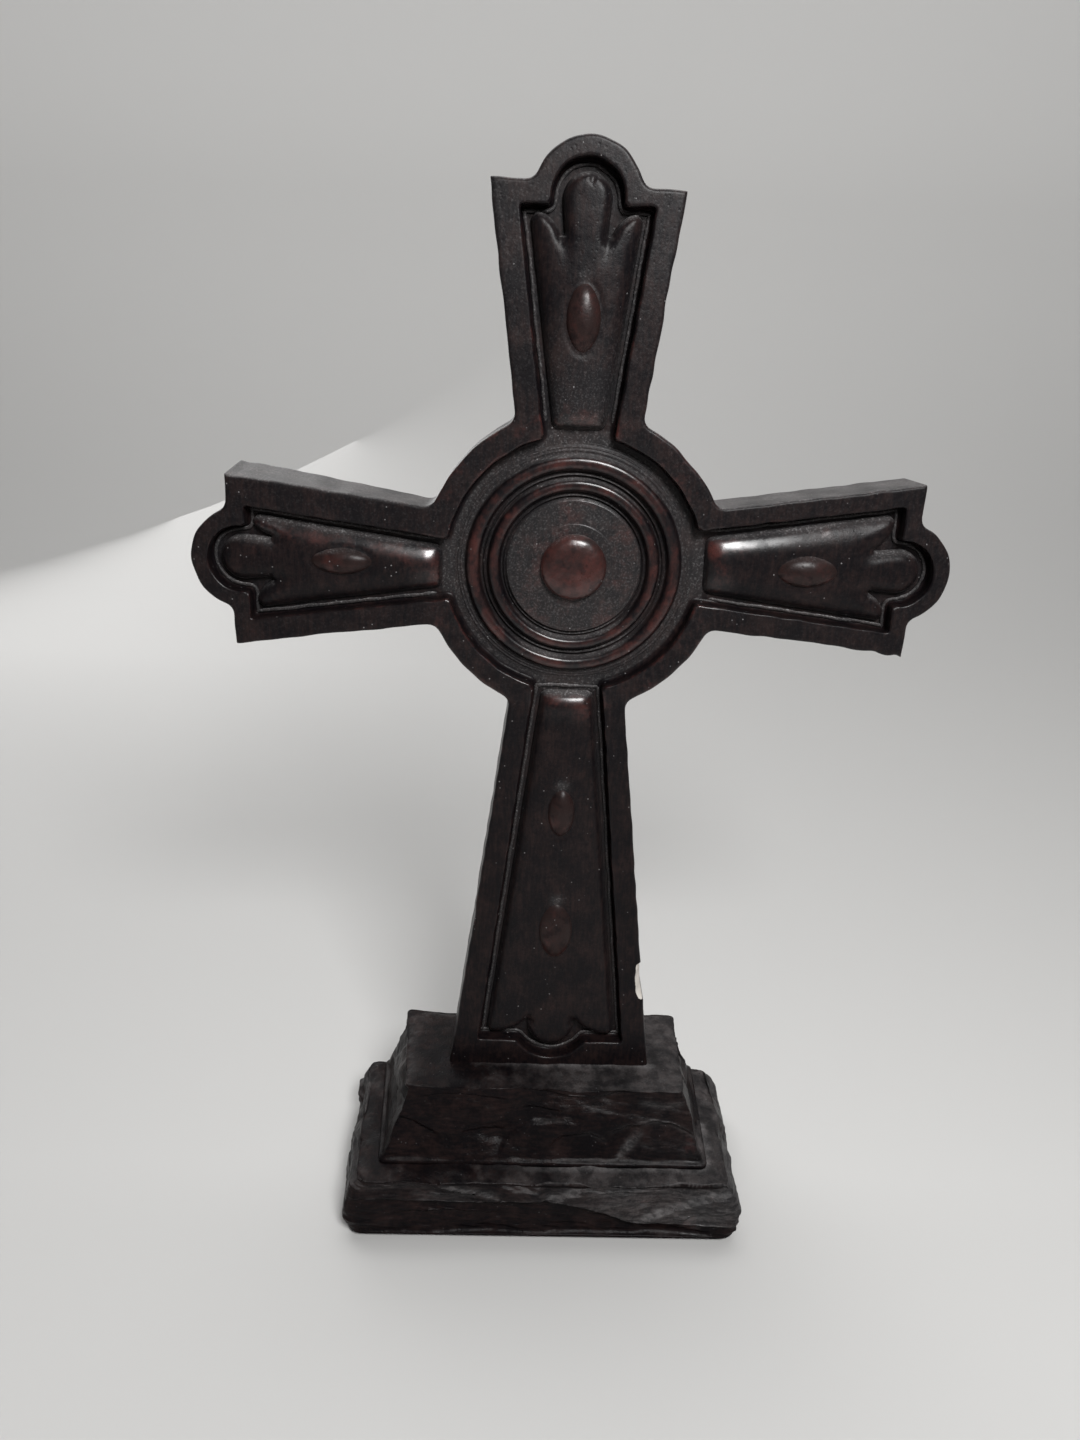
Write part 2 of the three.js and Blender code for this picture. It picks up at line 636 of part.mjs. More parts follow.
// Places of the hidden joints, seen from the plinth's middle
const boltX = tenonX - PLINTH_SHIFT;
const boreDepth = INSERT_LENGTH + CLEARANCE;
const pinReach = UPPER_TIER_WIDTH / 2 - TIER_PIN_INSET;
const pinCentres = { left: -pinReach, right: pinReach };

function pinHoles(bottom, top) {
  const radius = TIER_PIN_RADIUS + BOND;
  return Object.values(pinCentres).map((x) => solid(rod(radius, bottom, top, x, SLAB_SETBACK)));
}

function lowerTierGeometry() {
  const top = LOWER_TIER_HEIGHT + OVERCUT;
  const boreRadius = WASHER_RADIUS + COUNTERBORE_CLEARANCE;
  const through = rod(BOLT_RADIUS + CLEARANCE, -OVERCUT, top, boltX, SLAB_SETBACK);
  const counterbore = rod(boreRadius, -OVERCUT, COUNTERBORE_DEPTH, boltX, SLAB_SETBACK);
  let body = solid(tier(lowerLevels, LOWER_TIER_HEIGHT, lowerSize));
  body = body.subtract(solid(through)).subtract(solid(counterbore));
  const holeFoot = LOWER_TIER_HEIGHT - TIER_PIN_LENGTH / 2 - BOND;
  for (const hole of pinHoles(holeFoot, top)) body = body.subtract(hole);
  return geometryOf(body);
}

function upperTierGeometry() {
  const top = UPPER_TIER_HEIGHT + OVERCUT;
  const through = rod(BOLT_RADIUS + CLEARANCE, -OVERCUT, top, boltX, SLAB_SETBACK);
  const mortise = new THREE.BoxGeometry(
    TENON_WIDTH + 2 * CLEARANCE,
    TENON_THICKNESS + 2 * CLEARANCE,
    2 * (TENON_LENGTH + CLEARANCE),
  ).translate(boltX, SLAB_SETBACK, UPPER_TIER_HEIGHT);
  let body = solid(tier(upperLevels, UPPER_TIER_HEIGHT, upperSize));
  body = body.subtract(solid(through)).subtract(solid(mortise));
  for (const hole of pinHoles(-OVERCUT, TIER_PIN_LENGTH / 2 + BOND)) body = body.subtract(hole);
  return geometryOf(body);
}

// Hidden hardware

function insertGeometry() {
  const bore = BOLT_RADIUS + BOND;
  const waist = INSERT_RADIUS - INSERT_COLLAR_HEIGHT;
  return lathe([
    v2(bore, 0),
    v2(INSERT_RADIUS, 0),
    v2(INSERT_RADIUS, INSERT_COLLAR),
    v2(waist, INSERT_COLLAR),
    v2(waist, INSERT_LENGTH - INSERT_COLLAR),
    v2(INSERT_RADIUS, INSERT_LENGTH - INSERT_COLLAR),
    v2(INSERT_RADIUS, INSERT_LENGTH),
    v2(bore, INSERT_LENGTH),
    v2(bore, 0),
  ], HOLE_SIDES);
}

const headTop = COUNTERBORE_DEPTH - WASHER_THICKNESS - 2 * BOND;
const insertFoot = LOWER_TIER_HEIGHT + UPPER_TIER_HEIGHT - TENON_LENGTH; // above the felt
const boltTip = insertFoot + INSERT_LENGTH - BOLT_END_GAP;

function boltGeometry() {
  const hexagon = Array.from({ length: 6 }, (_, i) => {
    const angle = Math.PI / 3 * i;
    return v2(Math.cos(angle), Math.sin(angle)).multiplyScalar(BOLT_HEAD_FLATS / Math.sqrt(3));
  });
  const head = plate(hexagon, headTop - BOLT_HEAD_HEIGHT, headTop);
  const shank = rod(BOLT_RADIUS, headTop - BOLT_HEAD_HEIGHT / 2, boltTip, 0, 0);
  return geometryOf(solid(head).add(solid(shank)));
}

function washerGeometry() {
  const bore = BOLT_RADIUS + CLEARANCE;
  return lathe([
    v2(bore, 0),
    v2(WASHER_RADIUS, 0),
    v2(WASHER_RADIUS, WASHER_THICKNESS),
    v2(bore, WASHER_THICKNESS),
    v2(bore, 0),
  ], HOLE_SIDES);
}

function feltGeometry() {
  const size = lowerSize(0);
  size.half -= FELT_INSET;
  size.front += FELT_INSET;
  size.back -= FELT_INSET;
  const still = { ripple: 0, phase: 0 };
  return loft([tierRing(size, 0, still), tierRing(size, FELT_THICKNESS, still)]);
}

// Finishes

const mahogany = { color: 0x2b201d, roughness: 0.5, metalness: 0 };
const rubbedRed = { color: 0x5a2522, roughness: 0.42, metalness: 0 };
const dustyRock = { color: 0x2d2523, roughness: 0.55, metalness: 0 };
const steel = { color: 0x9a9ca0, roughness: 0.35, metalness: 1 };
const brass = { color: 0xb08d4a, roughness: 0.35, metalness: 1 };
const felt = { color: 0x1c1a1a, roughness: 1, metalness: 0 };

function piece(name, geometry, finish, x = 0, y = 0, z = 0) {
  const mesh = new THREE.Mesh(geometry, new THREE.MeshStandardMaterial(finish));
  mesh.name = name;
  mesh.position.set(x, y, z);
  return mesh;
}

// One limb's panel and studs, in a group that is turned to the limb.
function limbPieces(name, studs) {
  const { angle, window } = limbs[name];
  const group = new THREE.Group();
  group.rotation.z = angle;
  group.add(piece(`panel_${name}`, panelGeometry(window, Object.values(studs)), mahogany, 0, 0, floorLevel));
  for (const [studName, stud] of Object.entries(studs)) {
    const { x, y } = studPlace(window, stud);
    group.add(piece(studName, studGeometry(stud), rubbedRed, x, y, studLevel + BOND));
  }
  return group;
}

// The slab is drawn lying down and stands up here, so that its own z axis points forwards.
function standingCross() {
  const cross = new THREE.Group();
  cross.rotation.x = Math.PI / 2;
  cross.position.set(0, SLAB_SETBACK + SLAB_THICKNESS / 2, DISC_HEIGHT);
  cross.add(piece('cross_body', crossBody(), mahogany));
  cross.add(piece('medallion', medallionGeometry(), mahogany, 0, 0, floorLevel));
  const bossLevel = floorLevel + DISH_CENTRE_HEIGHT - BOSS_SEAT;
  cross.add(piece('centre_boss', bossGeometry(), rubbedRed, 0, 0, bossLevel));
  cross.add(limbPieces('top', { stud_top: topStud }));
  cross.add(limbPieces('left', { stud_left: leftStud }));
  cross.add(limbPieces('right', { stud_right: rightStud }));
  cross.add(limbPieces('post', { stud_post_upper: upperStud, stud_post_lower: lowerStud }));
  return cross;
}

function plinth() {
  const base = new THREE.Group();
  base.position.set(PLINTH_SHIFT, 0, FELT_THICKNESS);
  const pinFoot = LOWER_TIER_HEIGHT - TIER_PIN_LENGTH / 2;
  const washerFoot = COUNTERBORE_DEPTH - WASHER_THICKNESS - BOND;
  base.add(piece('plinth_lower', lowerTierGeometry(), dustyRock));
  base.add(piece('plinth_upper', upperTierGeometry(), dustyRock, 0, 0, LOWER_TIER_HEIGHT));
  base.add(piece('tie_bolt', boltGeometry(), steel, boltX, SLAB_SETBACK, 0));
  base.add(piece('tie_washer', washerGeometry(), steel, boltX, SLAB_SETBACK, washerFoot));
  base.add(piece('threaded_insert', insertGeometry(), brass, boltX, SLAB_SETBACK, insertFoot));
  for (const [side, x] of Object.entries(pinCentres)) {
    const pin = rod(TIER_PIN_RADIUS, 0, TIER_PIN_LENGTH, 0, 0);
    base.add(piece(`tier_pin_${side}`, pin, steel, x, SLAB_SETBACK, pinFoot));
  }
  base.add(piece('felt_pad', feltGeometry(), felt, 0, 0, -FELT_THICKNESS));
  return base;
}

const standingCrossPart = new THREE.Group();
standingCrossPart.add(standingCross(), plinth());

export default standingCrossPart;
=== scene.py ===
"""A standing cross, cast in resin with a dark mahogany finish, on a plinth like split rock.

Sums are in millimetres, and settings and meshes in metres. +Z is up, the carved front faces -Y,
and the origin is on the table. Drawings of the slab are complex numbers about the ring's centre:
the real part runs to the right and the imaginary part up. Heights are counted from the slab's back.
"""

import cmath
import math
from types import SimpleNamespace

import bmesh
import bpy
import numpy as np
from mathutils import Matrix, Vector
from mathutils.geometry import delaunay_2d_cdt


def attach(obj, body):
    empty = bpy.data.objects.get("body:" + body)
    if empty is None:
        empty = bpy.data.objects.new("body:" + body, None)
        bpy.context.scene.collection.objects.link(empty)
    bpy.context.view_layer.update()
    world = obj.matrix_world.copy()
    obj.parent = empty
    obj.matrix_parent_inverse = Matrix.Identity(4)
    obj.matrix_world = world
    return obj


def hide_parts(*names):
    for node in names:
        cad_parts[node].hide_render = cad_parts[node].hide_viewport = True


bl_info = {
    "name": "Standing Cross",
    "version": (1, 0, 0),
    "blender": (4, 5, 0),
    "location": "3D View > Sidebar > Cross",
    "description": "Builds a cast standing cross with its finishes, floor, lamps and camera",
    "category": "Add Mesh",
}

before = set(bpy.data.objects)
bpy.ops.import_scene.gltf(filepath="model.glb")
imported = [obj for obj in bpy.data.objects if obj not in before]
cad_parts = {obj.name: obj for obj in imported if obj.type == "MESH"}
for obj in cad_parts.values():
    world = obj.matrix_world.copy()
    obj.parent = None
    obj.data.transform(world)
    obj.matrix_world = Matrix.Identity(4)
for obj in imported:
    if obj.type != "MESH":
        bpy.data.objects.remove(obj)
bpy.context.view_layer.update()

MM = 0.001
SIDES = (-1, 1)  # right and left of someone who looks outwards along a limb

# Outlines and meshes
ARC_STEP = 0.25  # longest step along an arc
WAVES = 26  # random waves in an uneven outline
PAIRS_AT_ONCE = 3_000_000  # pairs of a point and a run that are worked out together
ROW_SHARE = 0.97  # the share of its distance that a row's point keeps from every outline
SLIVER = 1e-4  # twice the area below which a triangle is left out
SEAM = 0.01  # the distance under which points of two patches become one

# Slab
ROWS = (0.05, 0.14, 0.27, 0.42, 0.6, 0.85, 1.2, 1.7)  # rows of points along its edges
# Dents in its outline: place in its plane, width and depth
DENTS = (
    (48 - 14.6j, 9, 0.45),
    (57 - 15.6j, 1.3, 0.6),
    (61.5 - 15j, 0.9, 0.5),
    (36 - 13.2j, 1.6, 0.2),
    (-44 - 14.5j, 5, 0.2),
    (-61 + 15j, 1.5, 0.25),
    (13 + 48j, 4, 0.2),
    (-17 - 76j, 3, 0.25),
    (20.5 + 20j, 3, 0.25),
)
CHIP = 18.2 - 88.5j  # the chip's middle on the post's right edge
CHIP_HALF = 4.6  # half its length along the edge
CHIP_ASIDE = 4  # how far to either side of its middle it can be
CHIP_REACH = 1.7  # how far in from the edge it goes
LIFT_ABOVE = 10  # the left arm's upper edge is what lies above this height
LIFT_START = -28  # where it starts to be higher at the back
LIFT_RUN = 30  # how far from there it is highest
LIFT_END = -63.5  # where the arm's end starts

# Panels and studs
PANEL_ROWS = (0.06, 0.18, 0.36, 0.6, 0.95, 1.4, 1.95)  # rows of points along their edges
PANEL_LIP = 0.1  # height of a panel's edge above the window's floor
PANEL_SUNK = 0.25  # how far a panel reaches into that floor
INNER_ROLL = 3.4  # how far in a panel's inner end rolls over
PETAL_EDGE = ((0.1, 0.34), (0.42, 0.68), (1, 1))  # shares of the notch's depth and of its width
STUD_SUNK = 0.9  # how far a stud reaches into its panel

# Medallion. Ridges are (radius, height, half width)
DISH_RIDGES = ((7.65, 0.1, 0.16), (11.9, 0.1, 0.16))
BEAD_RIDGES = ((16.5, 0.75, 0.2), (12.85, 0.65, 0.18))
APRON_RIDGES = ((20.75, 0.16, 0.12), (21.3, 0.16, 0.12))
MEDALLION_SUNK = 0.3  # how far the medallion reaches into the well's floor
BOSS_SUNK = 0.4  # how far the boss reaches into the dish

# Plinth
COLUMNS = 560  # points round a tier
LEVELS = 46  # rings of points from its foot to its top
POST_FRONT = 0.65  # how far the slab's front stands before the middle of the plinth
FACES_OF_TIER = {"front": -1j, "right": 1 + 0j, "back": 1j, "left": -1 + 0j}
SWAY = 0.28  # half the depth of the soft hollows in a tier's faces
EDGE_WAVES = ((9.0, 0.4), (5.5, 1.9), (3.3, 2.7), (2.1, 5.1))  # (size, direction)
RED_SPOTS = (29.5 + 18j, 29.5 + 4.4j)  # where the front's stain is rubbed through

# Camera, in millimetres. Its axes are the directions of its right, its top and its back
CAMERA_LENS = 24.58
CAMERA_PLACE = Vector((-8.74, -178.39, 175.62))
CAMERA_AXES = (
    (0.99952545, -0.00844265, 0.02962419),
    (-0.02492989, 0.34317404, 0.93894093),
    (-0.0180934, -0.93923389, 0.34280071),
)


# Settings


def length(label, about, millimetres):
    return bpy.props.FloatProperty(
        name=label,
        description=about,
        default=millimetres * MM,
        unit="LENGTH",
        subtype="DISTANCE",
        precision=4,
    )


def angle(label, about, degrees):
    return bpy.props.FloatProperty(
        name=label,
        description=about,
        default=math.radians(degrees),
        unit="ROTATION",
        subtype="ANGLE",
    )


def share(label, about, value):
    return bpy.props.FloatProperty(name=label, description=about, default=value, subtype="FACTOR")


def colour(label, about, red, green, blue):
    return bpy.props.FloatVectorProperty(
        name=label,
        description=about,
        default=(red, green, blue),
        size=3,
        min=0,
        max=1,
        subtype="COLOR",
    )


def power(label, about, watts):
    return bpy.props.FloatProperty(name=label, description=about, default=watts, unit="POWER")


class SlabSettings(bpy.types.PropertyGroup):
    """Sizes of the slab that carries everything else."""

    ring_height: length("Ring height", "Centre of the ring above the table", 140.2)
    back: length("Back", "Distance of the slab's back from the middle of the plinth", 11.85)
    thickness: length("Thickness", "Thickness of the slab at its rims", 12.5)
    recess: length("Recess", "Depth of the windows and of the well round the medallion", 3.2)
    ring: length("Ring radius", "Outer radius of the ring", 28)
    ring_rim: length("Ring rim", "Width of the ring's rim", 4.4)
    fillet: length("Root fillet", "Hollow corners where limbs and lobes stand out", 1.8)
    edge_round: length("Edge round", "Wear of the outer edges", 0.75)
    rim_round: length("Rim round", "Wear of the edges along the windows", 0.55)
    soften: length("Softening", "How far sharp corners of the outlines are rounded", 0.42)
    foot_lap: length("Foot lap", "How far the post's foot reaches into the plinth", 1.5)
    floor_fillet: length("Floor fillet", "Hollow corner between the windows' walls and floors", 0.75)
    unevenness: length("Unevenness", "How far the outlines waver inwards", 0.27)
    left_lift: length("Left lift", "How much higher the left arm's upper edge is at the back", 1.2)
    chip: length("Chip", "Depth of the chip on the post's right edge", 1.05)


class LimbSettings(bpy.types.PropertyGroup):
    """Sizes of the three short arms and of the post."""

    reach: length("Arm reach", "From the ring's centre to the end face of an arm", 62.8)
    root: length("Arm root", "Width of an arm at the ring", 23.4)
    end: length("Arm end", "Width of an arm at its end face", 32.7)
    rim: length("Arm rim", "Width of the rim along an arm", 4.75)
    left_rim: length("Left upper rim", "Width of the upper rim of the left arm", 5.4)
    right_rim: length("Right upper rim", "Width of the upper rim of the right arm", 3.8)
    left_trim: length("Left trim", "How much slimmer the left arm is on its upper side", 0.9)
    end_rim: length("End rim", "Width of the rim at an arm's end", 3.4)
    lobe: length("Lobe radius", "Outer radius of the lobe on an arm's end", 9.3)
    lobe_inset: length("Lobe inset", "From the end face back to the lobe's centre", 2.3)
    lobe_rim: length("Lobe rim", "Width of the lobe's rim", 3.3)
    right_short: length("Right lobe", "How much less far the right lobe reaches", 0.4)
    post_root: length("Post root", "Width of the post at the ring", 23.2)
    post_foot: length("Post foot", "Width of the post on the plinth", 44)
    post_rim: length("Post rim", "Width of the post's rim at the ring", 4.4)
    post_foot_rim: length("Post foot rim", "Width of the post's rim at its foot", 5.6)
    post_end_rim: length("Post end rim", "Height of the rim below the post's window", 5.7)
    post_lobe: length("Post lobe", "Radius of the lobe at the foot of the window", 8.2)
    post_lobe_rim: length("Post lobe rim", "From that lobe down to the plinth", 1.4)
    top_lean: angle("Top lean", "How far the top arm is turned", 0.1)
    left_lean: angle("Left lean", "How far the left arm is turned", -0.1)
    right_lean: angle("Right lean", "How far the right arm is turned", 0.6)
    post_lean: angle("Post lean", "How far the post is turned", -0.5)
    top_slant: angle("Top slant", "How far the top arm's end is out of square", -2.2)


class PanelSettings(bpy.types.PropertyGroup):
    """Sizes of the raised panels and of the fine line round them."""

    gap: length("Gap", "Between a panel and the window's sides", 1.4)
    end_gap: length("End gap", "Between the petals and the window's end", 0.6)
    inner_gap: length("Inner gap", "From the well's edge to a panel's inner end", 0.5)
    rise: length("Rise", "Height of a panel's crest above the window's floor", 2.8)
    roll: length("Roll", "How far in the sides of the top and post panels roll over", 2.8)
    leaf_roll: length("Leaf roll", "How far in the edges of the three leaves roll over", 1.75)
    side_roll: length("Side roll", "How far in the sides of the other two panels roll over", 4.6)
    corner: length("Corner", "Rounding of a panel's inner corners", 2)
    petal_slope: length("Petal slope", "How far a petal's tip leans in", 1.3)
    notch: length("Notch", "Depth of the notches of the top arm and the post", 3.9)
    side_notch: length("Side notch", "Depth of the notches of the left and right arms", 3.7)
    notch_offset: length("Notch offset", "From the tongue's side to a notch's foot", -0.5)
    tongue: length("Tongue", "Width of an arm's tongue", 8.5)
    tongue_gap: length("Tongue gap", "From an arm's tongue to the window's lobe", 1.75)
    post_tongue: length("Post tongue", "Width of the post's tongue", 10.6)
    post_tongue_gap: length("Post tongue gap", "From its tip to the window's lobe", 2.4)
    crease: length("Crease", "Depth of the creases that run in from the notches", 0.5)
    line_gap: length("Line gap", "From the window's wall to the fine raised line", 0.75)
    line: length("Line", "Half the width of the fine raised line", 0.32)


class StudSettings(bpy.types.PropertyGroup):
    """Sizes of the oval studs. Places are shares of a panel's length, from its inner end."""

    length: length("Length", "Length of an arm's stud", 11.6)
    width: length("Width", "Width of an arm's stud", 6.2)
    left_width: length("Left width", "Width of the left arm's stud", 5.2)
    place: share("Place", "Place of an arm's stud", 0.45)
    right_place: share("Right place", "Place of the right arm's stud", 0.468)
    upper_length: length("Upper length", "Length of the post's upper stud", 10.9)
    upper_width: length("Upper width", "Width of the post's upper stud", 5.8)
    upper_place: share("Upper place", "Place of the post's upper stud", 0.31)
    lower_length: length("Lower length", "Length of the post's lower stud", 13.7)
    lower_width: length("Lower width", "Width of the post's lower stud", 7.4)
    lower_place: share("Lower place", "Place of the post's lower stud", 0.64)
    dome: length("Dome", "How far a stud stands out of its panel", 1.3)
    groove: length("Groove", "Depth of the groove round a stud", 0.22)
    point: share("Point", "How far the sides are drawn in towards the points", 0.08)


class MedallionSettings(bpy.types.PropertyGroup):
    """Sizes of the ringed medallion and its boss."""

    radius: length("Radius", "Outer radius of the medallion", 22.2)
    outer_bead: length("Outer bead", "Radius of the outer bead's crest", 18.6)
    outer_width: length("Outer bead width", "Width of the outer bead", 3)
    outer_rise: length("Outer bead height", "Height of the outer bead above the well", 1.9)
    inner_bead: length("Inner bead", "Radius of the inner bead's crest", 14.7)
    inner_width: length("Inner bead width", "Width of the inner bead", 2.6)
    inner_rise: length("Inner bead height", "Height of the inner bead above the well", 1.8)
    groove: length("Groove", "Level of the grooves between the beads", 0.15)
    dish: length("Dish", "Radius of the dish inside the beads", 12.4)
    dish_edge: length("Dish edge", "Height of the dish at its edge", 1.1)
    dish_middle: length("Dish middle", "Height of the dish round the boss", 1.6)
    boss: length("Boss", "Radius of the boss", 6.2)
    boss_rise: length("Boss height", "How far the boss stands out of the dish", 2.3)


class PlinthSettings(bpy.types.PropertyGroup):
    """Sizes of the two tiers like split rock."""

    shift: length("Shift", "How far the plinth stands to the left", 1.9)
    foot: length("Foot", "Thickness of the felt under the plinth", 1)
    lower_height: length("Lower height", "Height of the lower tier", 13.3)
    upper_height: length("Upper height", "Height of the upper tier", 15.9)
    left_flare: length("Left flare", "How much further out the back is on the left", 2.6)
    right_flare: length("Right flare", "How much further out the back is on the right", 1.3)
    break_depth: length("Break depth", "How deep the rock's small breaks go", 0.8)


class FinishSettings(bpy.types.PropertyGroup):
    """Colours of the finishes."""

    dark: colour("Dark", "Stain in the hollows and on plain faces", 0.004, 0.0032, 0.004)
    brown: colour("Brown", "Stain where it is thin", 0.018, 0.0105, 0.0098)
    # Red also colours the painted sheen on the side panels and the painted highlight along the plinth's
    # splits.
    red: colour("Red", "Rubbed high spots", 0.062, 0.0155, 0.0125)
    # Dust also paints light on the plinth's lit side. Where it is taken away, it leaves painted shade in the
    # windows and under the overhang.
    dust: colour("Dust", "House dust", 0.335, 0.325, 0.325)
    core: colour("Core", "Pale resin where the stain has chipped off", 0.62, 0.58, 0.53)
    rock: colour("Rock", "Stain on the plinth", 0.0042, 0.0034, 0.004)
    steel: colour("Steel", "Plated bolt, washer and pins", 0.58, 0.58, 0.6)
    brass: colour("Brass", "Threaded insert", 0.69, 0.5, 0.24)
    felt: colour("Felt", "Pad under the plinth", 0.02, 0.019, 0.019)


class StageSettings(bpy.types.PropertyGroup):
    """Floor, backdrop and lamps."""

    floor: colour("Floor", "Colour of the floor and backdrop", 0.56, 0.555, 0.545)
    key: power("Key", "Power of the lamp in front", 1.5)
    fill: power("Fill", "Power of the wide lamp above", 10)
    rear: power("Rear", "Power of the lamp behind", 0.8)
    sky: share("Sky", "Strength of the even light from all round", 0.07)


SETTINGS = {
    "cross_slab": SlabSettings,
    "cross_limbs": LimbSettings,
    "cross_panels": PanelSettings,
    "cross_studs": StudSettings,
    "cross_medallion": MedallionSettings,
    "cross_plinth": PlinthSettings,
    "cross_finish": FinishSettings,
    "cross_stage": StageSettings,
}


def read(context, name):
    """One group of settings as plain values, with lengths in millimetres."""
    group = getattr(context.scene, name)
    values = {}
    for prop in group.bl_rna.properties:
        if prop.type != "FLOAT":
            continue
        value = getattr(group, prop.identifier)
        if prop.is_array:
            value = tuple(value)
        elif prop.unit == "LENGTH":
            value = value / MM
        values[prop.identifier] = value
    return SimpleNamespace(**values)


# Plane drawing


def blend(start, end, t):
    return start + (end - start) * t


def smooth_step(low, high, value):
    t = np.clip((value - low) / (high - low), 0, 1)
    return t * t * (3 - 2 * t)


def bell(distance, width):
    return np.exp(-((distance / width) ** 2))


def rounding(near, radius):
    """The share of its full height that a rolled-over edge has at a distance from the edge."""
    return np.sqrt(1 - (1 - np.clip(near / radius, 0, 1)) ** 2)


def quarter(near, radius):
    """How far a rounded edge lies below its face, by the distance from the edge."""
    return radius * (1 - rounding(near, radius))


def run_along(path):
    """How far along a path each of its points is."""
    return np.append(0, np.cumsum(abs(np.diff(path))))


def beside(points, start, run):
    """The share of a straight run that each point has passed, and how far from the run it is."""
    off = points - start
    t = np.clip((off * np.conj(run)).real / abs(run) ** 2, 0, 1)
    return t, abs(off - t * run)


def arc_between(centre, start, end):
    """The shorter arc about a centre from one point to another."""
    first = cmath.phase(start - centre)
    turn = (cmath.phase(end - centre) - first + math.pi) % (2 * math.pi) - math.pi
    count = max(4, int(abs(turn) * abs(start - centre) / ARC_STEP))
    return list(centre + abs(start - centre) * np.exp(1j * (first + np.linspace(0, turn, count))))


def hollow_corner(circle, radius, point, along, side, fillet):
    """The hollow corner between a circle and a straight edge that stands out of it."""
    along = along / abs(along)
    normal = 1j * along * side
    away = ((point - circle) * normal.conjugate()).real + fillet
    centre = circle + normal * away + along * math.sqrt((radius + fillet) ** 2 - away**2)
    on_circle = circle + (centre - circle) * radius / (radius + fillet)
    return arc_between(centre, on_circle, centre - normal * fillet)


def blunted(before, corner, after, cut):
    """A corner rounded over a length of both its sides."""
    first = corner + (before - corner) / abs(before - corner) * cut
    last = corner + (after - corner) / abs(after - corner) * cut
    t = np.linspace(0, 1, 9)
    return list((1 - t) ** 2 * first + 2 * t * (1 - t) * corner + t**2 * last)


def spaced(outline, spacing=0, count=0):
    """A closed outline's points, moved to even distances along it."""
    loop = np.append(outline, outline[0])
    run = run_along(loop)
    at = np.linspace(0, run[-1], count or max(8, round(run[-1] / spacing)), endpoint=False)
    return np.interp(at, run, loop.real) + 1j * np.interp(at, run, loop.imag)


def softened(outline, spacing, radius):
    """A closed outline with even spacing and rounded corners."""
    loop = spaced(np.array(outline), spacing)
    waves = np.fft.fftfreq(len(loop), spacing)
    return np.fft.ifft(np.fft.fft(loop) * np.exp(-2 * (np.pi * waves * radius) ** 2))


def outward(loop):
    """Unit normals of an anticlockwise closed loop, away from what it holds."""
    along = np.roll(loop, -1) - np.roll(loop, 1)
    return -1j * along / abs(along)


def wavering(loop, depth, seed):
    """A closed outline that wavers by up to a depth, inwards only."""
    chance = np.random.default_rng(seed)
    turn = np.arange(len(loop)) * 2 * np.pi / len(loop)
    waves = sum(
        np.cos(chance.integers(12, 140) * turn + chance.uniform(0, 2 * np.pi)) for _ in range(WAVES)
    )
    share_out = (waves - waves.min()) / (waves.max() - waves.min())
    return loop - outward(loop) * depth * share_out


def in_parts(points, loop):
    """Slices of points that are small enough to be set against a whole loop at once."""
    size = max(1, PAIRS_AT_ONCE // len(loop))
    return [slice(k, k + size) for k in range(0, len(points), size)]


def distance(points, loops):
    """How far each point is from the nearest of the closed loops."""
    nearest = np.full(len(points), np.inf)
    for loop in loops:
        run = np.roll(loop, -1) - loop
        for part in in_parts(points, loop):
            nearest[part] = np.minimum(nearest[part], beside(points[part, None], loop, run)[1].min(1))
    return nearest


def inside(points, loops):
    """Whether each point is inside the first loop and outside the others."""
    held = np.zeros(len(points), bool)
    for loop in loops:
        ends = np.roll(loop, -1)
        for part in in_parts(points, loop):
            x, y = points[part].real[:, None], points[part].imag[:, None]
            crosses = (loop.imag > y) != (ends.imag > y)
            rise = np.where(crosses, ends.imag - loop.imag, 1)
            at = (ends.real - loop.real) * (y - loop.imag) / rise + loop.real
            held[part] ^= (crosses & (x < at)).sum(1) % 2 == 1
    return held


def tiled(loops, rows, spacing):
    """Points and triangles that fill the first loop outside the others.

    Rows of points follow the loops at the given distances, and an even pattern fills the rest.
    """
    outer = loops[0]
    kept = []
    for loop in loops:
        for row in rows:
            points = loop + outward(loop) * (-row if loop is outer else row)
            near = distance(points, loops) > row * ROW_SHARE
            kept.append(points[near & inside(points, loops)])
    across = np.arange(outer.real.min(), outer.real.max(), spacing)
    up = np.arange(outer.imag.min(), outer.imag.max(), spacing * math.sqrt(3) / 2)
    shifts = (np.arange(len(up)) % 2)[:, None] * spacing / 2
    points = (across + shifts + 1j * up[:, None]).ravel()
    points = points[inside(points, loops)]
    kept.append(points[distance(points, loops) > rows[-1] + spacing / 2])
    edges, first = [], 0
    for loop in loops:
        count = len(loop)
        edges += [(first + i, first + (i + 1) % count) for i in range(count)]
        first += count
    vectors = [Vector((p.real, p.imag)) for p in np.concatenate([*loops, *kept])]
    verts, _, faces, *_ = delaunay_2d_cdt(vectors, edges, [], 0, 1e-5, False)
    points = np.array([complex(v.x, v.y) for v in verts])
    faces = np.array([f for f in faces if len(f) == 3])
    faces = faces[inside(points[faces].mean(1), loops)]
    corners = points[faces]
    turn = ((corners[:, 1] - corners[:, 0]) * (corners[:, 2] - corners[:, 0]).conj()).imag
    faces[turn > 0] = faces[turn > 0][:, ::-1]
    return points, faces[abs(turn) > SLIVER]


# Limbs


def limb_half(limb, slab, side, u, windowed=False):
    """Half the width of a limb or of its window, on one side, at a distance from the centre."""
    t = (u - slab.ring) / (limb.end - slab.ring)
    half = blend(*limb.halves[side], t)
    return half - blend(*limb.rims[side], t) if windowed else half


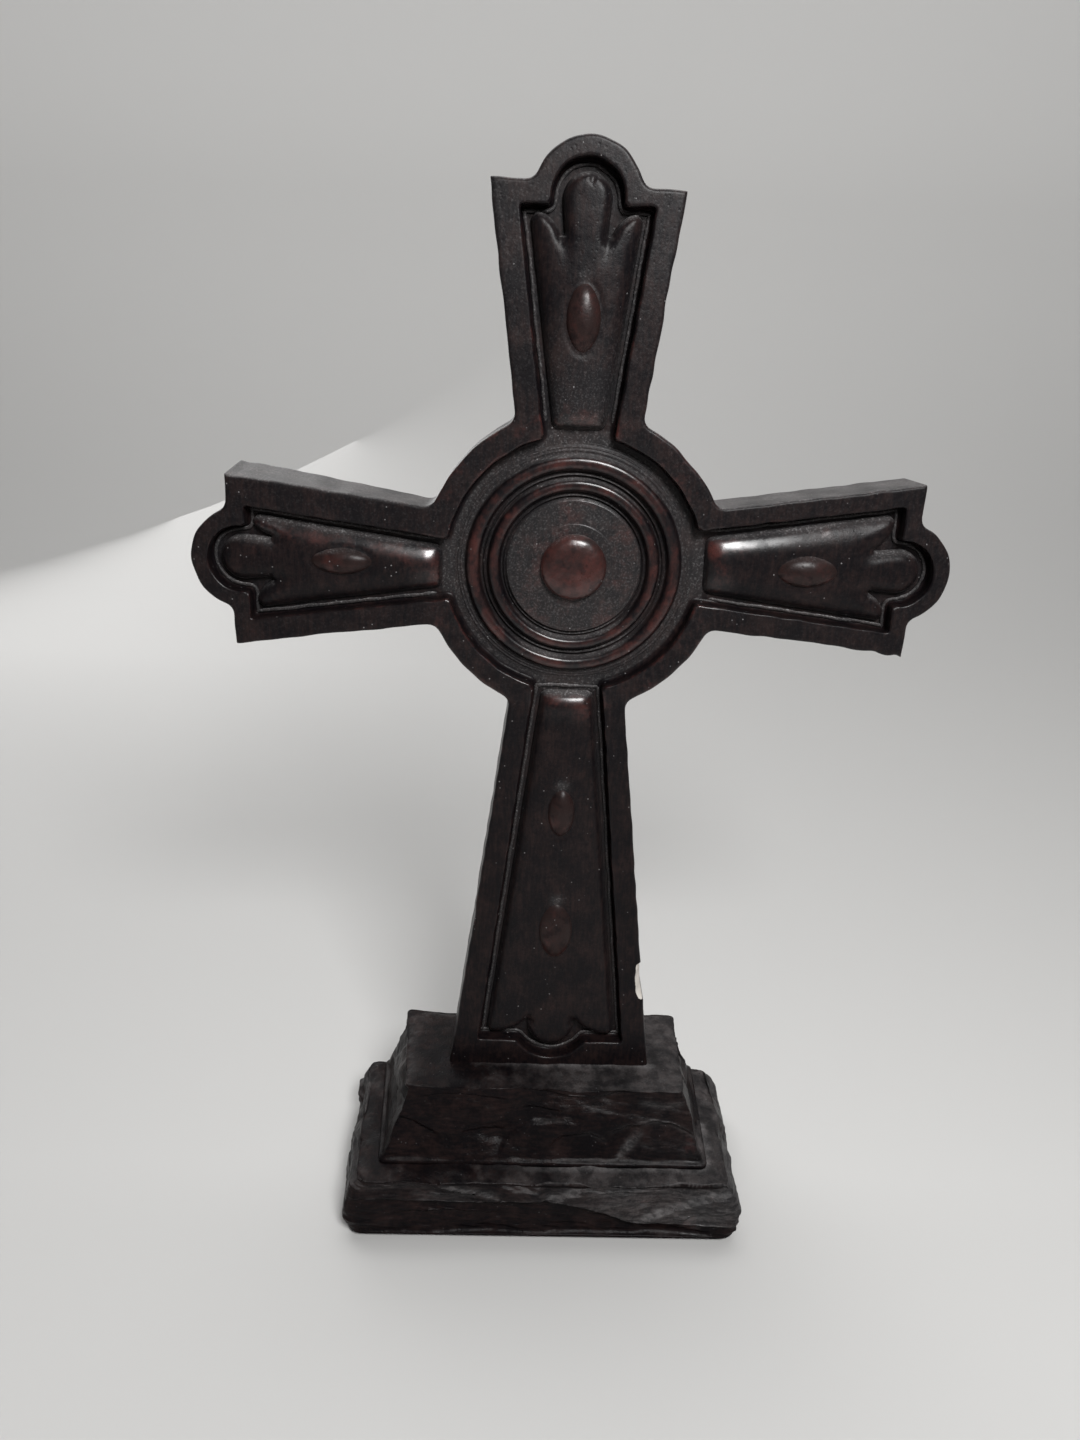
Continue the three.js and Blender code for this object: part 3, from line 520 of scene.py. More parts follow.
def make_limbs(context):
    """The four limbs, anticlockwise from the right arm, each drawn along the real axis.

    Halves and rims are widths at the ring and at the end, by side.
    """
    names = ("cross_slab", "cross_limbs", "cross_panels", "cross_plinth")
    slab, s, p, plinth = (read(context, name) for name in names)
    half = (s.root / 2, s.end / 2)
    trimmed = (s.root / 2 - s.left_trim, s.end / 2 - s.left_trim)

    def arm(name, turn, halves, rims, notch, short=0, slant=0):
        lobe = s.reach - s.lobe_inset - short
        return SimpleNamespace(
            name=name,
            turn=cmath.exp(1j * turn),
            end=s.reach,
            halves=dict(zip(SIDES, halves)),
            rims={side: (rim, rim) for side, rim in zip(SIDES, rims)},
            slant=slant,
            lobe=lobe,
            lobe_radius=s.lobe,
            window_end=s.reach - s.end_rim,
            window_lobe=lobe,
            window_radius=s.lobe - s.lobe_rim,
            tongue=p.tongue / 2,
            tongue_gap=p.tongue_gap,
            notch=notch,
            roll=p.roll if name == "top" else p.side_roll,
        )

    drop = slab.ring_height - plinth.foot - plinth.lower_height - plinth.upper_height
    post = SimpleNamespace(
        name="post",
        turn=cmath.exp(1j * (s.post_lean - math.pi / 2)),
        end=drop,
        halves={side: (s.post_root / 2, s.post_foot / 2) for side in SIDES},
        rims={side: (s.post_rim, s.post_foot_rim) for side in SIDES},
        slant=0,
        lobe=None,
        window_end=drop - s.post_end_rim,
        window_lobe=drop - s.post_lobe_rim - s.post_lobe,
        window_radius=s.post_lobe,
        tongue=p.post_tongue / 2,
        tongue_gap=p.post_tongue_gap,
        notch=p.notch,
        roll=p.roll,
    )
    return [
        arm("right", s.right_lean, (half, half), (s.rim, s.right_rim), p.side_notch, s.right_short),
        arm("top", s.top_lean + math.pi / 2, (half, half), (s.rim, s.rim), p.notch, 0, s.top_slant),
        arm("left", s.left_lean + math.pi, (trimmed, half), (s.left_rim, s.rim), p.side_notch),
        post,
    ]


def both_sides(draw, *given):
    """A whole outline from a drawing of one side that runs from the limb's root to its tip."""
    return [*draw(*given, -1), *reversed(draw(*given, 1))]


def ringed(limbs, draw, slab):
    """The limbs' outlines in their places, anticlockwise, joined by arcs about the ring's centre."""
    outlines = [[p * limb.turn for p in both_sides(draw, limb, slab)] for limb in limbs]
    points = []
    for outline, following in zip(outlines, outlines[1:] + outlines[:1]):
        points += outline + arc_between(0, outline[-1], following[0])
    return points


def limb_side(limb, slab, side):
    """One side of a limb, from the ring to the middle of its end."""
    root = complex(slab.ring, side * limb_half(limb, slab, side, slab.ring))
    end = limb.end + (slab.foot_lap if limb.lobe is None else 0)
    across = 1j * side * cmath.exp(1j * limb.slant)
    corner = end + across * limb_half(limb, slab, side, end) / math.cos(limb.slant)
    points = hollow_corner(0, slab.ring, root, corner - root, side, slab.fillet) + [corner]
    if limb.lobe is None:
        return points
    hollow = hollow_corner(limb.lobe, limb.lobe_radius, limb.end, across, -side, slab.fillet)
    return points + hollow[::-1] + arc_between(limb.lobe, hollow[0], limb.lobe + limb.lobe_radius)


def window_side(limb, slab, start, side):
    """One side of a window from a distance along the limb to the tip of its lobe."""
    root = complex(start, side * limb_half(limb, slab, side, start, True))
    corner = complex(limb.window_end, side * limb_half(limb, slab, side, limb.window_end, True))
    sink = min(1, max(-1, (limb.window_end - limb.window_lobe) / limb.window_radius))
    mouth = limb.window_lobe + limb.window_radius * cmath.exp(1j * side * math.acos(sink))
    tip = limb.window_lobe + limb.window_radius
    return [root, corner] + arc_between(limb.window_lobe, mouth, tip)


def recess_side(limb, slab, side):
    """One side of a window that opens into the well round the medallion."""
    well = slab.ring - slab.ring_rim
    start = well
    for _ in range(4):
        start = math.sqrt(well**2 - limb_half(limb, slab, side, start, True) ** 2)
    return window_side(limb, slab, start, side)


def panel_sizes(limb, slab, p):
    """Where a panel starts, where its petals end and where its tongue ends, along the limb."""
    start = slab.ring - slab.ring_rim + p.inner_gap
    return start, limb.window_end - p.end_gap, limb.window_lobe + limb.window_radius - limb.tongue_gap


def panel_half(limb, slab, p, side, u):
    return limb_half(limb, slab, side, u, True) - p.gap


def panel_side(limb, slab, p, side):
    """One side of a panel that ends in a petal and half a tongue."""
    start, end, tip = panel_sizes(limb, slab, p)
    shoulder = end - p.petal_slope
    corner = complex(start, side * panel_half(limb, slab, p, side, start))
    petal = panel_half(limb, slab, p, side, end) - p.petal_slope
    foot = limb.tongue + p.notch_offset
    centre = tip - limb.tongue
    return [
        *blunted(complex(start, 0), corner, corner + p.corner, p.corner),
        complex(shoulder, side * panel_half(limb, slab, p, side, shoulder)),
        complex(end, side * petal),
        *(complex(end - deep * limb.notch, side * blend(petal, foot, t)) for deep, t in PETAL_EDGE),
        *arc_between(centre, centre + 1j * side * limb.tongue, centre + limb.tongue),
    ]


# Meshes


def shown(name, data):
    """An object in the scene."""
    made = bpy.data.objects.new(name, data)
    bpy.context.scene.collection.objects.link(made)
    return made


def store(mesh, label, values):
    """Keeps one share for each point of a mesh, where a finish finds it."""
    layer = mesh.attributes.get(label) or mesh.attributes.new(label, "FLOAT", "POINT")
    layer.data.foreach_set("value", np.ascontiguousarray(values, np.float32))


class Shell:
    """Gathers the patches of one mesh, drawn in a plane with heights above it.

    Its shares of wear and sheen, of dust and shading, and of bare core are what its finish reads. Besides
    real wear and dust they carry a painted sheen, painted light and painted shade.
    """

    def __init__(self):
        self.rows, self.faces = [], []
        self.count = 0

    def add(self, points, heights, faces=(), worn=0.0, dusty=0.0, bare=0.0):
        rows = np.empty((len(points), 6))
        for k, values in enumerate((points.real, points.imag, heights, worn, dusty, bare)):
            rows[:, k] = values
        self.rows.append(rows)
        self.faces += [tuple(int(i) + self.count for i in face) for face in faces]
        self.count += len(points)

    def band(self, rings):
        """Joins rings of equally many points; each is (points, heights, worn, dusty, bare)."""
        count = len(rings[0][0])
        for k, (points, heights, *shares) in enumerate(rings):
            self.add(points, heights, (), *shares)
            high, low = self.count - count, self.count - 2 * count
            if k:
                turns = [(i, (i + 1) % count) for i in range(count)]
                self.faces += [(low + i, low + j, high + j, high + i) for i, j in turns]

    def close(self, points, height):
        """One face that closes the underside."""
        self.add(points, height, [range(len(points) - 1, -1, -1)])

    def build(self, name, slab=None):
        """The mesh as an object: on the slab where there is one, and otherwise flat above the table."""
        rows = np.concatenate(self.rows)
        places = rows[:, :3]
        if slab:
            places = np.column_stack([rows[:, 0], slab.back - rows[:, 2], slab.ring_height + rows[:, 1]])
        mesh = bpy.data.meshes.new(name)
        mesh.from_pydata((places * MM).tolist(), [], self.faces)
        for k, label in enumerate(("worn", "dusty", "bare")):
            store(mesh, label, rows[:, 3 + k])
        work = bmesh.new()
        work.from_mesh(mesh)
        bmesh.ops.remove_doubles(work, verts=work.verts, dist=SEAM * MM)
        bmesh.ops.recalc_face_normals(work, faces=work.faces)
        work.to_mesh(mesh)
        work.free()
        mesh.polygons.foreach_set("use_smooth", [True] * len(mesh.polygons))
        return shown(name, mesh)


def edge_object(name, path, closed=False, **shares):
    """A path in millimetres as an object of edges, for a tree to work on."""
    mesh = bpy.data.meshes.new(name)
    count = len(path)
    edges = [(i, (i + 1) % count) for i in range(count if closed else count - 1)]
    mesh.from_pydata((path * MM).tolist(), edges, [])
    for label, values in shares.items():
        store(mesh, label, values)
    return shown(name, mesh)


# Node trees


class Wire:
    """What a node gives out. Plain sums with it add Math nodes."""

    def __init__(self, tree, socket):
        self.tree = tree
        self.socket = socket

    def maths(self, operation, *values):
        return self.tree.add("ShaderNodeMath", values, operation=operation)

    def __add__(self, other):
        return self.maths("ADD", self, other)

    def __radd__(self, other):
        return self.maths("ADD", other, self)

    def __sub__(self, other):
        return self.maths("SUBTRACT", self, other)

    def __rsub__(self, other):
        return self.maths("SUBTRACT", other, self)

    def __mul__(self, other):
        return self.maths("MULTIPLY", self, other)

    def __rmul__(self, other):
        return self.maths("MULTIPLY", other, self)

    def __truediv__(self, other):
        return self.maths("DIVIDE", self, other)

    def __rtruediv__(self, other):
        return self.maths("DIVIDE", other, self)

    def most(self, other):
        return self.maths("MAXIMUM", self, other)

    def least(self, other):
        return self.maths("MINIMUM", self, other)

    def ramp(self, low, high):
        """0 at low, 1 at high, with a smooth run between them."""
        values = {"Value": self, "From Min": low, "From Max": high}
        return self.tree.add("ShaderNodeMapRange", values, interpolation_type="SMOOTHSTEP")


class Tree:
    """Adds nodes to a shader or to a geometry node tree."""

    def __init__(self, tree):
        self.tree = tree

    def add(self, kind, values=(), output=0, **settings):
        """One node. Its settings come first, then the values or wires of its sockets."""
        node = self.tree.nodes.new(kind)
        for key, value in settings.items():
            setattr(node, key, value)
        pairs = values.items() if isinstance(values, dict) else enumerate(values)
        for key, value in pairs:
            self.feed(self.find(node.inputs, key), value)
        return Wire(self, self.find(node.outputs, output))

    def find(self, sockets, key):
        if isinstance(key, int):
            return [s for s in sockets if s.enabled][key]
        return next(s for s in sockets if s.enabled and s.name == key)

    def feed(self, socket, value):
        if isinstance(value, Wire):
            self.tree.links.new(value.socket, socket)
        elif value is not None:
            socket.default_value = value

    def parts(self, vector):
        """The X, Y and Z of a vector."""
        node = self.add("ShaderNodeSeparateXYZ", [vector]).socket.node
        return [Wire(self, socket) for socket in node.outputs]

    def noise(self, size, detail=2.0, rough=0.5, place=None, seed=0.0):
        """Cloudy noise from 0 to 1, with the size of its waves."""
        values = {"Vector": place, "W": seed, "Scale": 1 / size, "Detail": detail, "Roughness": rough}
        return self.add("ShaderNodeTexNoise", values, noise_dimensions="4D")

    def mix(self, factor, first, second):
        """A colour between two others."""
        values = {"Factor": factor, "A": opaque(first), "B": opaque(second)}
        return self.add("ShaderNodeMix", values, "Result", data_type="RGBA")


def opaque(tint):
    return tint if isinstance(tint, Wire) else (*tint, 1)


def key_of(label):
    return label.lower().replace(" ", "_")


def label_of(key):
    return key.replace("_", " ").capitalize()


def geometry_tree(name, **inputs):
    """A geometry node tree with inputs for sizes and for a material, and wires to all of them."""
    tree = bpy.data.node_groups.new(name, "GeometryNodeTree")
    tree.interface.new_socket("Geometry", in_out="OUTPUT", socket_type="NodeSocketGeometry")
    tree.interface.new_socket("Geometry", in_out="INPUT", socket_type="NodeSocketGeometry")
    for key, value in inputs.items():
        kind = {float: "NodeSocketFloat", int: "NodeSocketInt", tuple: "NodeSocketVector"}[type(value)]
        socket = tree.interface.new_socket(label_of(key), in_out="INPUT", socket_type=kind)
        socket.default_value = value
    tree.interface.new_socket("Material", in_out="INPUT", socket_type="NodeSocketMaterial")
    entry = tree.nodes.new("NodeGroupInput")
    make = Tree(tree)
    return make, SimpleNamespace(**{key_of(s.name): Wire(make, s) for s in entry.outputs if s.name})


def end_tree(make, geometry, given):
    """Smooth shading, real geometry and its material, as the last steps of a tree."""
    smooth = make.add("GeometryNodeSetShadeSmooth", [geometry])
    real = make.add("GeometryNodeRealizeInstances", [smooth])
    painted = make.add("GeometryNodeSetMaterial", {"Geometry": real, "Material": given.material})
    exit_node = make.tree.nodes.new("NodeGroupOutput")
    make.tree.links.new(painted.socket, exit_node.inputs[0])
    return make.tree


def pushed(make, geometry, rise):
    """Geometry moved along its normals."""
    normal = make.add("GeometryNodeInputNormal")
    offset = make.add("ShaderNodeVectorMath", {0: normal, "Scale": rise}, operation="SCALE")
    return make.add("GeometryNodeSetPosition", {"Geometry": geometry, "Offset": offset})


def stood(make, geometry, given):
    """Geometry turned and moved to its place."""
    values = {"Geometry": geometry, "Translation": given.place, "Rotation": given.turn}
    return make.add("GeometryNodeTransform", values)


def grow(thing, build, **values):
    """Runs a geometry node tree on an object and keeps the result as its plain mesh."""
    name = label_of(build.__name__)
    tree = bpy.data.node_groups.get(name) or build(name)
    modifier = thing.modifiers.new(name, "NODES")
    modifier.node_group = tree
    for item in tree.interface.items_tree:
        if item.in_out == "INPUT" and key_of(item.name) in values:
            modifier[item.identifier] = values[key_of(item.name)]
    graph = bpy.context.evaluated_depsgraph_get()
    result = thing.evaluated_get(graph)
    mesh = bpy.data.meshes.new_from_object(result, preserve_all_data_layers=True, depsgraph=graph)
    mesh.name = thing.name
    thing.modifiers.clear()
    thing.data = mesh


def cast_skin(name):
    """Soft swellings and fine grain, as on a casting from a hand-made mould."""
    sizes = dict(swell=0.0001, swell_size=0.012, grain=0.00002, grain_size=0.0015)
    make, given = geometry_tree(name, **sizes, seed=1.0)
    place = make.add("GeometryNodeInputPosition")

    def waves(size, shift):
        return make.noise(size, place=place, seed=given.seed + shift).least(0.9) * 2 - 1.8

    rise = waves(given.swell_size, 0.0) * given.swell + waves(given.grain_size, 7.0) * given.grain
    return end_tree(make, pushed(make, given.geometry, rise), given)


def raised_line(name):
    """A fine cord of uneven thickness along a path."""
    make, given = geometry_tree(name, radius=0.00026, unevenness=0.55, seed=1.0)
    path = make.add("GeometryNodeMeshToCurve", [given.geometry])
    wobble = make.noise(1 / 700, 1.0, seed=given.seed) * 2 - 1
    radius = given.radius * (1 + wobble * given.unevenness)
    ring = make.add("GeometryNodeCurvePrimitiveCircle", {"Resolution": 10, "Radius": 1.0}, mode="RADIUS")
    values = {"Curve": path, "Profile Curve": ring, "Scale": radius, "Fill Caps": True}
    return end_tree(make, make.add("GeometryNodeCurveToMesh", values), given)


def oval_stud(name):
    """An oval dome that is drawn in a little towards its two points."""
    sizes = dict(length=0.0116, width=0.0061, height=0.0015, point=0.14)
    make, given = geometry_tree(name, **sizes, place=(0.0, 0.0, 0.0), turn=(0.0, 0.0, 0.0))
    ball = make.add("GeometryNodeMeshUVSphere", {"Segments": 96, "Rings": 48, "Radius": 1.0})
    x, y, z = make.parts(make.add("GeometryNodeInputPosition"))
    values = {
        "X": x * given.length / 2,
        "Y": y * given.width / 2 * (1 - given.point * x * x),
        "Z": z * given.height,
    }
    places = make.add("ShaderNodeCombineXYZ", values)
    shaped = make.add("GeometryNodeSetPosition", {"Geometry": ball, "Position": places})
    return end_tree(make, stood(make, shaped, given), given)


def turned(name):
    """A solid turned from a profile of edges, with the radius along X and the height along -Y."""
    make, given = geometry_tree(name, sides=240, place=(0.0, 0.0, 0.0), turn=(0.0, 0.0, 0.0))
    profile = make.add("GeometryNodeMeshToCurve", [given.geometry])
    values = {"Resolution": given.sides, "Radius": 1e-6}
    axle = make.add("GeometryNodeCurvePrimitiveCircle", values, mode="RADIUS")
    axle = make.add("GeometryNodeSetCurveNormal", {"Curve": axle}, mode="Z_UP")
    solid = make.add("GeometryNodeCurveToMesh", {"Curve": axle, "Profile Curve": profile})
    solid = make.add("GeometryNodeMergeByDistance", {"Geometry": solid, "Distance": 2e-6})
    return end_tree(make, stood(make, solid, given), given)


def split_rock(name):
    """Breaks a tier's faces into strata, facets and cracks. It only cuts inwards."""
    make, given = geometry_tree(name, depth=0.0007, strata=0.005, facet=0.009, foot=0.0, seed=1.0)
    at = make.add("GeometryNodeInputPosition")
    lean = make.add("ShaderNodeVectorMath", [at, (0.16, 0.1, 1.0)], "Value", operation="DOT_PRODUCT")
    flat = make.add("ShaderNodeVectorMath", [at, (40.0, 40.0, 0.0)], operation="MULTIPLY")
    layers = make.add("ShaderNodeCombineXYZ", {"Z": lean / given.strata})
    where = make.add("ShaderNodeVectorMath", [flat, layers], operation="ADD")
    strata = make.noise(1.0, 3.0, 0.6, where, given.seed).ramp(0.43, 0.56)
    leaves = make.noise(1 / 2.3, 2.0, 0.6, where, given.seed + 8.0).ramp(0.45, 0.55)
    values = {"Vector": at, "W": given.seed, "Scale": 1 / given.facet, "Randomness": 1.0}
    facets = make.add("ShaderNodeTexVoronoi", values, "Distance", voronoi_dimensions="4D")
    grain = make.noise(1 / 900, 3.0, 0.6, at, given.seed + 3.0)
    cut = strata * 0.55 + leaves * 0.3 + facets * 0.45 + (grain - 0.5) * 0.3
    height = make.parts(at)[2]
    free = ((height - given.foot) / 0.0008).ramp(0.0, 1.0)
    rise = cut.most(0.0) * -1.0 * given.depth * free
    return end_tree(make, pushed(make, given.geometry, rise), given)


# Finishes


class Finish(Tree):
    """The node tree of one finish, with the sizes of its patterns in millimetres."""

    def __init__(self, name):
        self.material = bpy.data.materials.new(name)
        self.material.use_nodes = True
        super().__init__(self.material.node_tree)
        self.tree.nodes.clear()
        self.place = self.add("ShaderNodeTexCoord", output="Object")

    def noise(self, size, detail=2.0, rough=0.5, place=None, seed=0.0):
        return super().noise(size * MM, detail, rough, place or self.place, seed)

    def cells(self, size):
        """The distance from the nearest of many scattered points."""
        values = {"Vector": self.place, "Scale": 1 / (size * MM)}
        return self.add("ShaderNodeTexVoronoi", values, "Distance")

    def share(self, name):
        return self.add("ShaderNodeAttribute", output="Fac", attribute_name=name)

    def upward(self):
        return self.parts(self.add("ShaderNodeNewGeometry", output="Normal"))[2]

    def bump(self, height, depth, strength=1.0):
        values = {"Height": height, "Distance": depth * MM, "Strength": strength}
        return self.add("ShaderNodeBump", values)

    def done(self, **sockets):
        """The material, once its shader has its values and wires."""
        values = {key.replace("_", " "): value for key, value in sockets.items()}
        shader = self.add("ShaderNodeBsdfPrincipled", values)
        exit_node = self.tree.nodes.new("ShaderNodeOutputMaterial")
        self.tree.links.new(shader.socket, exit_node.inputs["Surface"])
        return self.material


def resin(name, f, dark, wear, dustiness, lay=(1.0, 1.0, 0.16), grain=1.0, grit=1.0, shine=0.14):
    """Stained resin: red on high spots, dust where it faces up, streaked, specked and pitted.
    The wear share also carries a painted sheen, which turns red and glossy like the rubbing. The dust share
    also paints light where it rises and shade where it drops below nothing.

    Lay squeezes the pattern of the streaks along each axis. Grit is how speckled the dust is, and
    the less there is of it, the more the dust and the grain follow the streaks.
    """
    make = Finish(name)
    drawn = make.add("ShaderNodeMapping", {"Vector": make.place, "Scale": lay})
    streak = make.noise(0.6, 3.0, 0.6, drawn, 21.0)
    blotch = make.noise(7.0, 3.0, 0.6)
    patch = make.noise(2.6, 3.0, 0.6, seed=12.0)
    fine = make.noise(0.8, 3.0, 0.65, seed=4.0)
    speckle = make.noise(0.36, 2.0, 0.6, seed=9.0)
    mottle = make.noise(1.7, 2.0, 0.6, seed=33.0).ramp(0.5, 0.68)

    # The wear share holds real rubbing and also the side panels' painted sheen. Both turn the stain red here
    # and glossy in the coat below.
    rubbed_and_sheen = make.share("worn") + (blotch - 0.5) * 1.3 + (patch - 0.5) * 1.1 + (fine - 0.5) * 0.7
    rubbed_and_sheen = (rubbed_and_sheen - 0.3 + wear * 0.5).ramp(0.15, 1.05)
    tint = make.mix((blotch * 0.45 + fine * 0.2 + streak * 0.35).ramp(0.41, 0.66), dark, f.brown)
    tint = make.mix(rubbed_and_sheen * 0.9, tint, f.red)
    tint = make.mix(mottle * 0.55, tint, f.dark)

    settled = make.upward().ramp(0.4, 0.95) * (blotch * 1.8 - 0.45).most(0.0)
    # The dust share adds real dust and painted light on the plinth's lit side. Below zero it takes dust away
    # as painted shade in the windows and under the overhang.
    lying = make.share("dusty") * (0.3 + fine)
    specks = (1 - grit * 0.5) + speckle.ramp(0.5, 0.68) * 1.2 * grit
    specks = specks + (streak.ramp(0.4, 0.62) - 0.5) * (1 - grit)
    powder = ((settled + lying) * dustiness * specks).most(0.0).least(1.0)
    tint = make.mix(powder, tint, f.dust)
    spot = make.cells(1.5).ramp(0.11, 0.06) * make.noise(5.0, 1.0, seed=15.0).ramp(0.52, 0.6)
    tint = make.mix(spot * (0.5 * grit), tint, f.dust)

    bare = (make.share("bare") * 1.6 + (fine - 0.5) * 0.8).ramp(0.4, 0.6)
    tint = make.mix(bare, tint, f.core)
    rough = 0.36 - rubbed_and_sheen * 0.1 + powder * 0.5 + (fine - 0.5) * 0.25 + bare * 0.3
    polish = (make.share("worn") - 0.25).most(0.0) * 1.5
    gloss = (polish + rubbed_and_sheen * 0.6 - powder - mottle * 0.15).most(0.0) * (1 - bare)
    pits = make.cells(1.1).ramp(0.0, 0.3)
    height = fine * 0.4 + speckle * 0.2 + pits * 0.25 + streak * (0.15 + 0.6 * (1 - grit))
    return make.done(
        Base_Color=tint,
        Roughness=rough,
        Normal=make.bump(height, 0.09 * grain, 0.9),
        Coat_Weight=gloss,
        Coat_Roughness=0.24,
        IOR=1.45,
        Specular_IOR_Level=shine,
    )


def metal(name, tint, grain):
    """Plain worked metal with faint scratches and dull patches."""
    make = Finish(name)
    stretched = make.add("ShaderNodeMapping", {"Vector": make.place, "Scale": (1.0, 1.0, 12.0)})
    scratches = make.noise(grain, 3.0, 0.6, stretched)
    patches = make.noise(3.0, 2.0, seed=5.0)
    shade = make.mix(patches.ramp(0.35, 0.7) * 0.4, tint, tuple(0.55 * c for c in tint))
    rough = 0.28 + scratches * 0.15 + patches * 0.12
    return make.done(Base_Color=shade, Metallic=1.0, Roughness=rough, Normal=make.bump(scratches, 0.02))


def cloth(name, tint):
    """Pressed felt."""
    make = Finish(name)
    fibres = make.noise(0.35, 4.0, 0.7)
    shade = make.mix(fibres.ramp(0.35, 0.7), tint, tuple(min(1, 2.4 * c) for c in tint))
    return make.done(Base_Color=shade, Roughness=0.9 + fibres * 0.1, Normal=make.bump(fibres, 0.25))


def finish_of(context, name):
    """One of the finishes, made when it is first asked for."""
    f = read(context, "cross_finish")
    rock = dict(lay=(0.2, 0.2, 1.0), grain=2.0, grit=0.3, shine=0.08)
    makers = {
        "Cast body": lambda: resin(name, f, f.dark, 0.15, 0.5),
        "Rubbed red": lambda: resin(name, f, f.brown, 0.5, 0.25),
        "Dusty line": lambda: resin(name, f, f.dark, 0.2, 0.7),
        "Rock": lambda: resin(name, f, f.rock, 0.0, 0.17, **rock),
        "Steel": lambda: metal(name, f.steel, 0.5),
        "Brass": lambda: metal(name, f.brass, 0.7),
        "Felt": lambda: cloth(name, f.felt),
    }
    return bpy.data.materials.get(name) or makers[name]()


# Pieces


def stand(level, slab, centre=0):
    """Where a piece, drawn about its own Z, stands on the slab at a height."""
    return Vector((centre.real, slab.back - level, slab.ring_height + centre.imag)) * MM


def facing_front(turn):
    """Angles that turn a piece's Z to the front and its X along a direction of the slab."""
    along = Vector((turn.real, 0, turn.imag))
    front = Vector((0, -1, 0))
    return Matrix((along, front.cross(along), front)).transposed().to_euler()


def cast(made, finish, swell, grain, seed):
    """Gives a piece the skin of a casting. Swell and grain are (depth, size)."""
    sizes = dict(swell=swell[0], swell_size=swell[1], grain=grain[0], grain_size=grain[1])
    values = {key: size * MM for key, size in sizes.items()}
    grow(made, cast_skin, **values, seed=float(seed), material=finish)


def keep_piece(piece, slot_name, *nodes):
    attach(piece, "root")
    if nodes:
        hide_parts(*nodes)


def mark(made, worn, dusty):
    """Gives a whole piece one share of wear and one of dust."""
    for label, value in (("worn", worn), ("dusty", dusty)):
        store(made.data, label, np.full(len(made.data.vertices), value))


def chipped(points, near, slab):
    """How deep the chip is at points of the slab's front, by their distance from its edge."""
    off = points - CHIP
    along = np.clip(1 - (off.imag / CHIP_HALF) ** 2, 0, 1) ** 0.6
    along *= 0.85 + 0.15 * np.sin(off.imag * 1.7)
    return slab.chip * along * (abs(off.real) < CHIP_ASIDE) * (1 - smooth_step(0, CHIP_REACH, near))


def slab_outlines(slab, limbs):
    """The slab's outline, its recess, and its outline at the back, where the left arm is higher."""
    outer = softened(ringed(limbs, limb_side, slab), 0.5, slab.soften)
    outer = wavering(outer, slab.unevenness, 3)
    for place, width, depth in DENTS:
        outer = outer - outward(outer) * depth * bell(abs(outer - place), width)
    recess = softened(ringed(limbs, recess_side, slab), 0.5, slab.soften)
    recess = wavering(recess, slab.unevenness, 8)
    upper_edge = (outer.imag > LIFT_ABOVE) & (outer.real > LIFT_END)
    lift = slab.left_lift * upper_edge * np.clip((LIFT_START - outer.real) / LIFT_RUN, 0, 1)
    return outer, recess, outer + 1j * lift


def slab_shell(slab, limbs):
    """The front with its rims, the recess, the back and the sides."""
    outer, recess, behind = slab_outlines(slab, limbs)
    floor = slab.thickness - slab.recess
    shell = Shell()

    points, faces = tiled([outer, recess], ROWS, 0.8)
    to_edge, to_recess = distance(points, [outer]), distance(points, [recess])
    chip = chipped(points, to_edge, slab)
    heights = slab.thickness - quarter(to_edge, slab.edge_round) - quarter(to_recess, slab.rim_round)
    worn = 0.1 + 0.3 * bell(to_edge, 0.5) + 0.3 * bell(to_recess, 0.6) + 0.22 * (abs(points) < slab.ring)
    # A pale film that grows towards the top, and none right along the windows' edges.
    film = 0.05 * smooth_step(-70, 10, points.imag) + 0.05 * smooth_step(30, 60, points.imag)
    film -= 1.2 * bell(to_recess, 0.2)
    shell.add(points - chip, heights - chip, faces, worn, film, chip / slab.chip * 2)

    levels = np.linspace(slab.thickness - slab.rim_round, floor + slab.floor_fillet, 7)
    # Painted shade: the windows' walls get no dust at all, so they stay dark.
    shell.band([(recess, level, 0.12, -1.5) for level in levels])
    points, faces = tiled([recess], ROWS, 0.7)
    to_wall = distance(points, [recess])
    open_floor = smooth_step(0.3, 1.0, to_wall) * (abs(points) < slab.ring - slab.ring_rim + 1)
    # Painted shade: dust is taken away along the foot of the walls, so the channels there stay dark.
    dusty = blend(0.06, 0.25, open_floor) - 1.5 * bell(to_wall, 0.35)
    shell.add(points, floor + quarter(to_wall, slab.floor_fillet), faces, 0.05, dusty)

    points, faces = tiled([behind], ROWS, 1.4)
    shell.add(points, quarter(distance(points, [behind]), slab.edge_round), faces[:, ::-1], 0.15, 0.1)

    rings = []
    for share in np.linspace(0, 1, 14):
        level = blend(slab.edge_round, slab.thickness - slab.edge_round, share)
        chip = chipped(outer, 0, slab) * share**5
        loop = blend(behind, outer, share) - chip
        rings.append((loop, level - chip, 0.15 + 0.3 * bell(1 - share, 0.12), 0.12, chip / slab.chip * 2))
    shell.band(rings)
    return shell


class CROSS_OT_slab(bpy.types.Operator):
    """Cast slab: ring, post and three arms with lobes, and the windows in them"""

    bl_idname = "cross.slab"
    bl_label = "Slab"

    def execute(self, context):
        slab = read(context, "cross_slab")
        made = slab_shell(slab, make_limbs(context)).build("cast_slab", slab)
        cast(made, finish_of(context, "Cast body"), (0.12, 12), (0.025, 1.6), 1)
        keep_piece(made, "cast_body", "cross_body")
        return {"FINISHED"}


